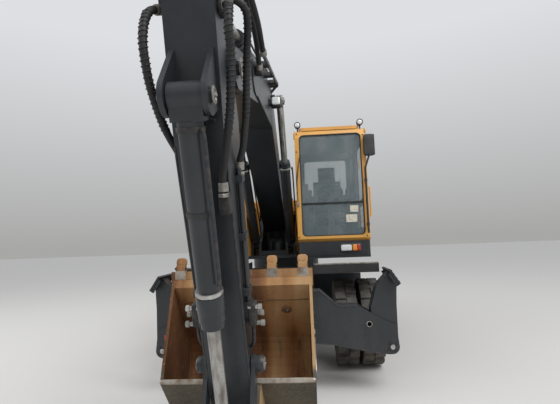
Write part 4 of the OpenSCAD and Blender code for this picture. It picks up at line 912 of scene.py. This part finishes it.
for side, sign in (("left", -1), ("right", 1)):
    spots = [bucketAt(sign * bucketSide["boltX"], p, q) for p, q in bucketSide["bolts"]]
    dots("sideCutterBolts_" + side, "bolt", spots, (sign, 0, 0), bucketSide["boltSize"], "dark", "bucket")
    strip = curved([bucketAt(sign * bucketSide["stripX"], p, q) for p, q in bucketSide["strip"]], 8)
    bar("wearStrip_" + side, strip, roundRect(*bucketSide["stripSection"]), "polished", "bucket")
print("bucket dressed")

wheel = {
    "nuts": (0.162, 10, 0.31), "nutOut": 0.012, "nutSize": 0.0155, "hubBolts": (0.044, 6), "hubOut": 0.150,
    "hubBoltSize": 0.008, "stemRadius": 0.005,
    "lip": [[0.276, -0.004], [0.281, -0.003], [0.282, 0.004], [0.277, 0.006], [0.268, 0.004], [0.262, 0.0]],
    "lipOut": 0.263, "valve": ((0.010, 0.0, 0.225), (0.060, 0.0, 0.222), (0.110, 0.0, 0.226)),
    "tyresX": (0.807, 1.107), "tyreHalf": 0.131, "ribs": ((0.350, 0.0035), (0.405, 0.0045)),  # radius, half width
}
for side, sign in (("left", 1), ("right", -1)):
    out = (sign, 0, 0)
    for end, y in (("front", machine["frontAxleY"]), ("rear", machine["rearAxleY"])):
        name = "_%s_%s" % (end, side)
        body = "wheel" + name
        hub = np.array([sign * machine["trackHalf"], y, machine["axleZ"]])
        spots = hub + np.insert(circle(*wheel["nuts"]), 0, sign * wheel["nutOut"], 1)
        dots("wheelNuts" + name, "bolt", spots, out, wheel["nutSize"], "zinc", body)
        spots = hub + np.insert(circle(*wheel["hubBolts"]), 0, sign * wheel["hubOut"], 1)
        dots("hubBolts" + name, "bolt", spots, out, wheel["hubBoltSize"], "dark", body)
        place = hub + np.array([sign * wheel["lipOut"], 0, 0])
        hoop("rimLip" + name, wheel["lip"], place, out, 64, "orange_paint", body)
        stem = curved([hub + np.array([sign * v[0], v[1], v[2]]) for v in wheel["valve"]], 5)
        bar("tyreValve" + name, stem, circle(wheel["stemRadius"], 8), "bright", body)
        for k, centre in enumerate(wheel["tyresX"]):
            for r, w in wheel["ribs"]:
                rib = [[r - w, -0.003], [r - w * 0.4, 0.002], [r + w * 0.4, 0.002], [r + w, -0.003]]
                for face in (-1, 1):
                    place = np.array([sign * (centre + face * wheel["tyreHalf"]), y, machine["axleZ"]])
                    hoop("sidewallRib%s_%d_%d_%d" % (name, k, round(r * 1000), face + 1), rib, place,
                         (sign * face, 0, 0), 72, "tyre_rubber", body)
print("wheels dressed")

sealSection = (0.018, 0.016, 0.005)


def gutter(x):
    # line of the roof's drip rail at a fixed x
    return curved([(x, -1.300, 2.985), (x, -1.228, 3.108), (x, 0.150, 3.108), (x, 0.258, 2.990)], 10)


cabLines = {
    # name: [line, section's width, height and corner, finish, body], a seal's line closed
    "frontGlassSeal": [frameLine((0.317, 1.625), (1.163, 3.030), 0.058, -1.336, 1), sealSection, "seal", "upper"],
    "glassDivider": [[(0.316, -1.334, 2.070), (0.74, -1.336, 2.070), (1.164, -1.334, 2.070)],
                     (0.014, 0.026, 0.005), "seal", "upper"],
    "rearGlassSeal": [frameLine((0.365, 2.335), (1.115, 2.965), 0.058, 0.256, 1), sealSection, "seal", "upper"],
    "sideGlassSeal": [frameLine((-0.280, 2.260), (0.180, 2.990), 0.050, 1.218, 0), sealSection, "seal", "upper"],
    "farGlassSeal": [frameLine((-1.220, 2.000), (0.160, 2.990), 0.060, 0.262, 0), sealSection, "seal", "upper"],
    "doorUpperSeal": [frameLine((-1.200, 2.130), (-0.470, 2.955), 0.050, 1.216, 0), sealSection, "seal", "door"],
    "doorLowerSeal": [frameLine((-1.180, 1.725), (-0.510, 2.060), 0.050, 1.216, 0), sealSection, "seal", "door"],
    "roofGutter_left": [gutter(0.246), (0.014, 0.012, 0.004), "orange_paint", "upper"],
    "roofGutter_right": [gutter(1.234), (0.014, 0.012, 0.004), "orange_paint", "upper"],
    "wiperArm": [curved([(0.272, -1.366, 2.080), (0.266, -1.376, 2.230), (0.268, -1.376, 2.418),
                         (0.284, -1.370, 2.530)]), (0.010, 0.012, 0.003), "dark", "upper"],
    "wiperBlade": [[(0.262, -1.362, 2.330), (0.286, -1.366, 2.540), (0.318, -1.360, 2.740)],
                   (0.008, 0.018, 0.003), "seal", "upper"],
}
for name, (line, section, finish, body) in cabLines.items():
    slot = "orange_paint" if finish == "orange_paint" else "black_plastic"
    bar(name, line, roundRect(*section), finish, body, closed=name.endswith("Seal"))
cab = {
    "wiperMotor": ((0.268, -1.364, 2.066), (0.034, 0.030, 0.070)), "plugY": -1.3502, "plugSize": 0.010,
    "plugs": [(0.283, 3.055), (0.272, 2.801), (0.272, 2.462), (0.264, 2.225), (0.266, 1.612), (1.196, 3.002),
              (1.201, 2.789), (1.199, 2.075), (1.188, 1.605)],
    # lamps under the front glass: [place, size, finish]
    "lamps": {
        "lampSurround": [(0.955, -1.348, 1.452), (0.290, 0.124, 0.020), "black_plastic"],
        "workLens": [(0.897, -1.360, 1.452), (0.142, 0.080, 0.016), "white"],
        "turnLens": [(1.010, -1.360, 1.452), (0.060, 0.080, 0.015), "amber"],
        "markLens": [(1.064, -1.360, 1.452), (0.038, 0.080, 0.015), "red"],
    },
    # blank stickers inside the glass: place, size
    "stickers": (((1.031, -1.3302, 1.980), (0.112, 0.090, 0.0014)),
                 ((0.991, -1.3302, 1.850), (0.150, 0.105, 0.0014))),
    "roofLampsX": (0.298, 1.182), "roofLampZ": 3.210, "roofLensY": -1.2505, "roofRimY": -1.246,
    "roofLensSize": 0.036, "beaconPlace": (1.030, -0.030, 3.204),
    "mirrorShell": ((1.264, -1.411, 2.838), (0.150, 0.058, 0.300)),
    "mirrorPane": ((1.264, -1.3815, 2.838), (0.120, 0.262, 0.003)),
    "mast": (1.200, -1.410), "mastClampZ": (1.760, 2.360),
    "lampRim": [[0.0425, 0.0], [0.046, 0.0], [0.047, 0.006], [0.046, 0.014], [0.0425, 0.014]],
    "beacon": [[0.0432, 0.0], [0.0450, 0.004], [0.0450, 0.080], [0.040, 0.100], [0.028, 0.110], [0.010, 0.1115]],
    "clamp": [[0.0142, -0.016], [0.020, -0.016], [0.021, -0.012], [0.021, 0.012], [0.020, 0.016],
              [0.0142, 0.016]],
}
dress(softBox("wiperMotor", *cab["wiperMotor"]), "zinc", "upper")
spots = [(x, cab["plugY"], z) for x, z in cab["plugs"]]
dots("framePlugs", "dome", spots, (0, -1, 0), cab["plugSize"], "dark", "upper")
for name, (place, size, finish) in cab["lamps"].items():
    slab(name, place, towardFront, size, 7.0, finish, "upper")
for k, x in enumerate(cab["roofLampsX"]):
    z = cab["roofLampZ"]
    place = (x, cab["roofLensY"], z)
    dots("roofLens%d" % k, "dome", [place], (0, -1, 0), cab["roofLensSize"], "white", "upper")
    place = (x, cab["roofRimY"], z)
    hoop("roofLampRim%d" % k, cab["lampRim"], place, (0, -1, 0), 32, "dark", "upper")
knob("beaconDome", cab["beacon"], cab["beaconPlace"], (0, 0, 1), 32, "amber", "upper")
dress(softBox("mirrorShell", *cab["mirrorShell"], 6.0), "black_plastic", "upper")
place, size = cab["mirrorPane"]
slab("mirrorPane", place, towardRear, size, 8.0, "mirror", "upper")
for k, z in enumerate(cab["mastClampZ"]):
    hoop("mastClamp%d" % k, cab["clamp"], (*cab["mast"], z), (0, 0, 1), 24, "dark", "upper")
for k, (place, size) in enumerate(cab["stickers"]):
    slab("cabSticker%d" % k, place, towardFront, size, 12.0, "sticker", "upper")
print("cab dressed")

seat = {
    "x": 0.740, "lean": (0, 0.165, 0.986), "pinch": 0.035, "grooveDepth": 0.011, "pipingRadius": 0.0042,
    "armX": 0.290, "padPlace": (-0.320, 2.118), "padSize": (0.106, 0.440, 0.046), "bootPlace": (-0.495, 2.131),
    "gripPlace": (-0.495, 2.232), "gripWay": (0, -0.08, 1),
    "monitor": ((0.365, -1.018, 2.265), (0.094, 0.200, 0.004)),
    "mat": ((0.740, -0.930, 1.6062), (0.780, 0.600, 0.012)),
    "boot": [[0.050, 0.0], [0.052, 0.008], [0.040, 0.016], [0.046, 0.026], [0.034, 0.036], [0.040, 0.046],
             [0.026, 0.058], [0.030, 0.068], [0.013, 0.084]],
    "grip": [[0.013, 0.0], [0.020, 0.010], [0.024, 0.030], [0.021, 0.070], [0.026, 0.100], [0.024, 0.120],
             [0.012, 0.130]],
}


def cushion(name, centre, across, over, width, height, depth, channels, fill, sides=120):
    # closed pad: outline pulled in between its corners, face crowned as the root of 1 - r^5, channels pressed in
    across, over = np.asarray(across, float), np.asarray(over, float)
    over = over / np.linalg.norm(over)
    out = np.cross(across, over)
    a = np.linspace(0, 2 * pi, sides, endpoint=False)
    edge = signedPower(circle(1.0, sides), 0.42) * (1 - seat["pinch"] * np.cos(2 * a) ** 2)[:, None]
    rings = [(0.02, -0.5), (0.5, -0.5), (0.86, -0.5), (0.96, -0.46), (1.0, -0.25), (1.008, -0.05), (1.0, 0.12)]
    for r in (0.985, 0.96, 0.92, 0.86, 0.78, 0.69, 0.6, 0.5, 0.4, 0.3, 0.2, 0.1, 0.02):
        rings.append((r, 0.5 * math.sqrt(1 - r ** 5)))
    radius, lift = np.array(rings).T
    x = radius[:, None] * edge[None, :, 0] * width / 2
    y = radius[:, None] * edge[None, :, 1] * height / 2
    z = np.repeat(lift[:, None], sides, 1) * depth
    groove = sum(np.exp(-((y - c) / 0.009) ** 2) for c in channels)
    groove = groove + np.exp(-((np.abs(x) - width * 0.34) / 0.008) ** 2)
    z = z - np.where(lift[:, None] > 0.12, seat["grooveDepth"] * groove, 0)
    points = np.asarray(centre) + x[..., None] * across + y[..., None] * over + z[..., None] * out
    piece = smooth(recalc(meshFrom(name, points.reshape(-1, 3), tubeFaces(len(rings), sides))), 0)
    dress(piece, "seatCloth", "upper")
    rim = (edge[:, 0:1] * width / 2 * 1.008) * across + (edge[:, 1:2] * height / 2 * 1.008) * over
    rim = np.asarray(centre) + rim - out * depth * 0.04
    bar(name + "_piping", rim, circle(seat["pipingRadius"], 8), "seal", "upper", closed=True, angle=0)


leaning = ((1, 0, 0), seat["lean"])
cushions = {
    # name: [place, facing, width, height, depth, channels pressed across it, fill]
    "seatCushion": [(seat["x"], -0.405, 1.935), upward, 0.480, 0.500, 0.110, (-0.10, 0.06), 0.75],
    "backCushion": [(seat["x"], -0.158, 2.240), leaning, 0.440, 0.560, 0.100, (-0.12, 0.02, 0.16), 0.75],
    "headCushion": [(seat["x"], -0.118, 2.690), leaning, 0.270, 0.180, 0.070, (), 0.8],
}
for name, (place, facing, *measures) in cushions.items():
    cushion(name, place, *facing, *measures)
for k, sign in ((0, -1), (2, 1)):
    x = seat["x"] + sign * seat["armX"]
    pad, boot, grip = ((x, *seat[key]) for key in ("padPlace", "bootPlace", "gripPlace"))
    dress(softBox("armPad_%d" % k, pad, seat["padSize"]), "black_plastic", "upper")
    knob("stickBoot_%d" % k, seat["boot"], boot, (0, 0, 1), 28, "seal", "upper", angle=60)
    knob("stickGrip_%d" % k, seat["grip"], grip, seat["gripWay"], 24, "black_plastic", "upper", angle=60)
place, size = seat["monitor"]
slab("monitorPane", place, towardRear, size, 10.0, "screen", "upper")
place, size = seat["mat"]
slab("floorMat", place, upward, size, 12.0, "seal", "upper", crown=0.02)
steering = {"place": (0.740, -0.835, 2.266), "radius": 0.180, "tilt": math.radians(-32), "grip": 0.0172,
            "sides": 64}
u, v = circle(steering["radius"], steering["sides"]).T
rim = np.stack([u, v * math.cos(steering["tilt"]), v * math.sin(steering["tilt"])], 1) + steering["place"]
swell = 1 + 0.05 * np.cos(np.arange(steering["sides"]) * 2 * pi / 4)
bar("steeringGrip", rim, circle(steering["grip"], 12), "seal", "upper", closed=True, scale=swell, angle=0)
print("seat and controls dressed")

covers = {
    "faceX": 1.2102, "louvres": 8, "louvreX": 1.194, "louvreY": (0.905, 1.335), "louvreZ": 1.577,
    "louvreStep": 0.06, "louvreSection": (0.010, 0.026, 0.003), "seamSection": (0.005, 0.007, 0.002),
    "doors": (((0.380, 1.400), (0.840, 2.220)), ((0.870, 1.400), (1.470, 2.220))),
    "latchZ": (1.560, 2.060), "hingeX": 1.214, "hingeY": 0.862, "hingeZ": (1.500, 2.120),
    "hinge": [[0.010, -0.040], [0.011, -0.036], [0.011, 0.036], [0.010, 0.040]],
    "lampZ": 1.700, "lampWay": (0.850, 2.1695), "lampReach": 2.328,
    "strap": [[0.0522, -0.012], [0.0550, -0.011], [0.0562, 0.0], [0.0550, 0.011], [0.0522, 0.012]],
    "strapZ": (2.400, 2.560, 2.700), "pipePlace": (-0.960, 1.100), "eyesX": (-0.55, 0.55), "eyeY": 1.800,
    "eyeZ": 2.206, "eyeHalf": 0.060, "eyeRise": 0.085, "eyeRadius": 0.014, "latchIn": 0.050, "latchSize": 0.026,
    "lampSize": (0.200, 0.110, 0.022), "lensSize": (0.170, 0.082, 0.014), "lensOut": 0.012, "doorCorner": 0.030,
}
for side, sign in (("left", 1), ("right", -1)):
    face, out = sign * covers["faceX"], (sign, 0, 0)
    blades = []
    for k in range(covers["louvres"]):
        z = covers["louvreZ"] + covers["louvreStep"] * k
        line = along([(sign * covers["louvreX"], y, z) for y in covers["louvreY"]], 0.05)
        blades.append(sweep("louvreBlade", line, roundRect(*covers["louvreSection"])))
    dress(smooth(recalc(joined("louvres_" + side, blades))), "black_paint", "upper")
    for k, (low, high) in enumerate(covers["doors"]):
        name = "_%s_%d" % (side, k)
        seam = frameLine(low, high, covers["doorCorner"], face, 0)
        section = roundRect(*covers["seamSection"])
        bar("coverSeam" + name, seam, section, "seal", "upper", closed=True)
        spots = [(face, high[0] - covers["latchIn"], z) for z in covers["latchZ"]]
        dots("coverLatches" + name, "cap", spots, out, covers["latchSize"], "dark", "upper")
    knuckles = [turned("knuckle", covers["hinge"], (sign * covers["hingeX"], covers["hingeY"], z), (0, 0, 1), 16)
                for z in covers["hingeZ"]]
    dress(smooth(recalc(joined("coverHinges_" + side, knuckles))), "dark", "upper")
    n = np.array([sign * covers["lampWay"][0], covers["lampWay"][1], 0.0])
    n = n / np.linalg.norm(n)
    facing = ((-n[1], n[0], 0), (0, 0, 1))
    rear = n * covers["lampReach"] + np.array([0, 0, covers["lampZ"]])
    slab("rearLampBody_" + side, rear, facing, covers["lampSize"], 7.0, "black_plastic", "upper")
    slab("rearLens_" + side, rear + n * covers["lensOut"], facing, covers["lensSize"], 7.0, "red", "upper")
# half an ellipse over the deck for each lifting eye
t = np.linspace(0.02, pi - 0.02, 16)
for k, x in enumerate(covers["eyesX"]):
    z = covers["eyeZ"] + covers["eyeRise"] * np.sin(t)
    line = np.stack([x + covers["eyeHalf"] * np.cos(t), np.full(16, covers["eyeY"]), z], 1)
    bar("liftingEye%d" % k, line, circle(covers["eyeRadius"], 12), "dark", "upper")
for k, z in enumerate(covers["strapZ"]):
    place = (*covers["pipePlace"], z)
    hoop("exhaustBand%d" % k, covers["strap"], place, (0, 0, 1), 32, "zinc", "upper")
hood = {
    "handle": [(-0.12, 0.640, 2.322), (-0.12, 0.640, 2.356), (0.0, 0.640, 2.362), (0.12, 0.640, 2.356),
               (0.12, 0.640, 2.322)],
    "bolts": [(x, y, 2.3205) for y in (1.415, 1.390) for x in (-0.570, 0.670)],
}
bar("hoodHandle", curved(hood["handle"], 8), circle(0.008, 12), "dark", "hood")
dots("hoodBolts", "bolt", hood["bolts"], (0, 0, 1), 0.009, "dark", "hood")
print("covers dressed")

under = {
    "slewBolts": (0.545, 36), "slewZ": 1.126, "lid": ((-0.660, 0.680), (0.410, 1.020)), "lidX": 1.1505,
    "latches": ((1.1503, -0.480, 0.970), (1.1503, 0.230, 0.970)), "studRowsX": (1.170, 1.190, 1.210),
    "stepsY": (-0.400, 0.120), "studZ": 0.4751,
    # the strip along the fender's top edge: a painted highlight of its sunlit flange, laid as a zinc bar
    "highlightStrip": ((0.445, -2.0955, 1.287), (0.815, -2.0955, 1.288), (1.186, -2.0955, 1.287)),
    "reflector": (-1.120, -2.6215, 0.600), "reflectorSize": (0.092, 0.072, 0.010), "stepStuds": 9,
    "studFrom": 0.03, "studPitch": 0.028,
}
legs = {
    "y": -2.520, "pin": (1.190, -2.6345, 0.470), "boltCircle": (0.050, 4, 0.6), "hole": (0.970, -2.6203, 0.700),
    "holeRing": [[0.0225, 0.0], [0.030, 0.0], [0.031, 0.004], [0.029, 0.007], [0.0225, 0.007]],
    "footEdge": (1.289, 1.111), "footWay": (-0.093, 0.144), "footFacing": (0.84, 0, 0.54),
    "ribsY": (-0.195, -0.065, 0.065, 0.195),
    "footStuds": (np.linspace(-0.18, 0.18, 8), np.linspace(0.12, 0.88, 4)),  # in Y, and as shares up the foot
    "rib": ((1.262, 1.090), (1.238, 1.130), (1.206, 1.178), (1.184, 1.212)),
    "weldY": -2.621, "weldTop": ((0.02, 1.046), (0.474, 1.046), (0.654, 0.886), (0.850, 0.881)),
    "weldLow": ((0.02, 0.544), (0.572, 0.505), (1.080, 0.406)),
}
spots = np.insert(circle(*under["slewBolts"]), 2, under["slewZ"], 1)
dots("slewBolts", "bolt", spots, (0, 0, 1), 0.0095, "dark", "chassis")
for side, sign in (("left", 1), ("right", -1)):
    turn, out, leg = np.array([sign, 1, 1]), (sign, 0, 0), "leg_" + side  # turn takes a place to its own side
    lid = frameLine(*under["lid"], 0.030, sign * under["lidX"], 0)
    bar("boxLid_" + side, lid, roundRect(0.006, 0.010, 0.002), "seal", "chassis", closed=True)
    dots("boxLatches_" + side, "cap", under["latches"] * turn, out, 0.030, "dark", "chassis")
    studs = [(x, y, under["studZ"]) for x in under["studRowsX"] for start in under["stepsY"]
             for y in start + under["studFrom"] + np.arange(under["stepStuds"]) * under["studPitch"]]
    dots("stepStuds_" + side, "dome", studs * turn, (0, 0, 1), 0.0065, "zinc", "chassis")
    # the zinc strip on the fender's top edge is a painted highlight: it stands in for the sunlit top flange
    bar("fenderHighlightStrip_" + side, along(under["highlightStrip"] * turn, 0.04), roundRect(0.014, 0.020, 0.005, 4),
        "zinc", "chassis")
    pin = legs["pin"] * turn
    dots("legPinCap_" + side, "cap", [pin], (0, -1, 0), 0.024, "bright", "chassis")
    spots = pin + np.insert(circle(*legs["boltCircle"]), 1, 0.0102, 1)
    dots("legPinBolts_" + side, "bolt", spots, (0, -1, 0), 0.0075, "dark", "chassis")
    place = legs["hole"] * turn
    hoop("tieHoleRing_" + side, legs["holeRing"], place, (0, -1, 0), 32, "zinc", "chassis")
    (edgeX, edgeZ), (stepX, stepZ) = legs["footEdge"], legs["footWay"]
    studs = [(edgeX + stepX * v, legs["y"] + y, edgeZ + stepZ * v) for y in legs["footStuds"][0]
             for v in legs["footStuds"][1]]
    way = legs["footFacing"] * turn
    dots("footStuds_" + side, "dome", studs * turn, way, 0.013, "dark", leg)
    for k, y in enumerate(legs["ribsY"]):
        rib = [(sign * x, legs["y"] + y, z) for x, z in legs["rib"]]
        bar("footRib_%s%d" % (side, k), along(rib, 0.03), roundRect(0.012, 0.034, 0.004), "charcoal_paint", leg)
    for part, line in (("Top", legs["weldTop"]), ("Low", legs["weldLow"])):
        line = [(sign * x, legs["weldY"], z) for x, z in line]
        dress(bead("beamWeld%s_%s" % (part, side), line, 0.006, 0.014), "weld", "chassis")
slab("sideReflector", under["reflector"], towardFront, under["reflectorSize"], 8.0, "red", "chassis")
blade = {
    "boltsX": np.linspace(-1.12, 1.12, 12), "bolts": (2.2655, 0.390), "boltSize": 0.014,
    "facing": (0, 0.925, 0.381), "weldX": 1.20, "weld": (2.1745, 0.700),
}
spots = [(x, *blade["bolts"]) for x in blade["boltsX"]]
dots("bladeBolts", "bolt", spots, blade["facing"], blade["boltSize"], "dark", "blade")
line = [(x, *blade["weld"]) for x in (-blade["weldX"], 0.0, blade["weldX"])]
dress(bead("bladeWeld", line, 0.006, 0.016), "weld", "blade")
print("undercarriage dressed")

foreX = machine["boomWidth"] / 2 + 0.080
fore = {
    # places on the boom: x, distance along it, height
    "pipe": [(0.160, 2.475, 1.020), (0.215, 2.485, 1.080), (foreX, 2.580, 1.080), (foreX, 2.900, 0.945),
             (foreX, 3.600, 0.650), (foreX, 4.020, 0.470)],
    "clamps": ((2.575, 1.078), (2.760, 1.002), (3.200, 0.818), (3.680, 0.616)), "clampX": 0.222,
    "pipeRadius": 0.015, "clampSize": (0.100, 0.046, 0.048),
    # place on the boom, size
    "lamp": ((0.253, 2.725, 0.780), (0.106, 0.070, 0.120)),
    "lens": ((0.253, 2.7600, 0.780), (0.086, 0.086, 0.016)),
    "lampFoot": ((0.196, 2.725, 0.780), (0.036, 0.044, 0.070)),
}
path = curved([boomAt(*p) for p in fore["pipe"]], 10)
bar("forePipe", path, circle(fore["pipeRadius"], 14), "charcoal_paint", "boom")
for k, (s, h) in enumerate(fore["clamps"]):
    clamp = brick("foreClamp%d" % k, boomAt(fore["clampX"], s, h), fore["clampSize"], boomAxes)
    dress(clamp, "dark", "boom")
place, size = fore["lamp"]
dress(brick("boomLampBody", boomAt(*place), size, boomAxes), "black_plastic", "boom")
place, size = fore["lampFoot"]
dress(brick("boomLampFoot", boomAt(*place), size, boomAxes), "dark", "boom")
place, size = fore["lens"]
slab("boomLens", boomAt(*place), ((1, 0, 0), boomAxes[2]), size, 6.0, "white", "boom")


def bendingHose(name, path, radius, sides):
    # a hose that bends between two bodies, from one point of its line to another
    line = curved(path, 10)
    hose = smooth(sweep(name, line, circle(radius, sides)), 0)
    hose.data.materials.append(look["hose"])
    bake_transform(hose)
    return line


crossLook = {"radius": 0.0195, "bulkheadX": 0.208, "bulkhead": (3.885, 0.428), "size": (0.058, 0.060, 0.070)}
crossing = {
    "crossHoseOuter": [boomAt(0.260, 4.035, 0.463), (0.110, -4.200, 2.975), (0.110, -4.420, 3.000),
                       (0.090, -4.640, 3.040), (0.050, -4.790, 3.020), armAt(0.150, -0.338, 0.190)],
    "crossHoseRight": [boomAt(0.215, 3.900, 0.430), (0.066, -4.120, 3.020), (0.060, -4.400, 3.075),
                       (0.040, -4.660, 3.110), (0.020, -4.840, 3.060), armAt(0.148, -0.338, 0.250)],
    "crossHoseLeft": [boomAt(-0.215, 3.900, 0.430), (-0.368, -4.120, 3.020), (-0.362, -4.400, 3.075),
                      (-0.340, -4.660, 3.110), (-0.315, -4.840, 3.060), armAt(-0.148, -0.328, 0.250)],
}
for name, path in crossing.items():
    line = bendingHose(name, path, crossLook["radius"], 14)
    hoop(name + "_collar", collar(0.0200), line[0], line[1] - line[0], 28, "zinc", "boom")
    if name != "crossHoseOuter":
        sign = 1 if name.endswith("Right") else -1
        place = boomAt(sign * crossLook["bulkheadX"], *crossLook["bulkhead"])
        block = softBox(name + "_bulkhead", place, crossLook["size"], 6.0)
        dress(block, "dark", "boom")
footHoses = {
    # x from the boom's middle, the line as [share of x, y, z], its end on the boom
    "x": (-0.150, -0.104, 0.104, 0.150), "end": (0.565, 0.413), "radius": 0.016,
    "line": ((0.6, -0.020, 1.645), (0.7, 0.020, 1.760), (1, 0.075, 1.960), (1, 0.000, 2.170), (1, -0.260, 2.290)),
}
for k, x in enumerate(footHoses["x"]):
    path = [(machine["boomX"] + x * share, y, z) for share, y, z in footHoses["line"]]
    path.append(boomAt(x, *footHoses["end"]))
    bendingHose("footHose%d" % k, path, footHoses["radius"], 12)
print("hoses that cross the joints laid")
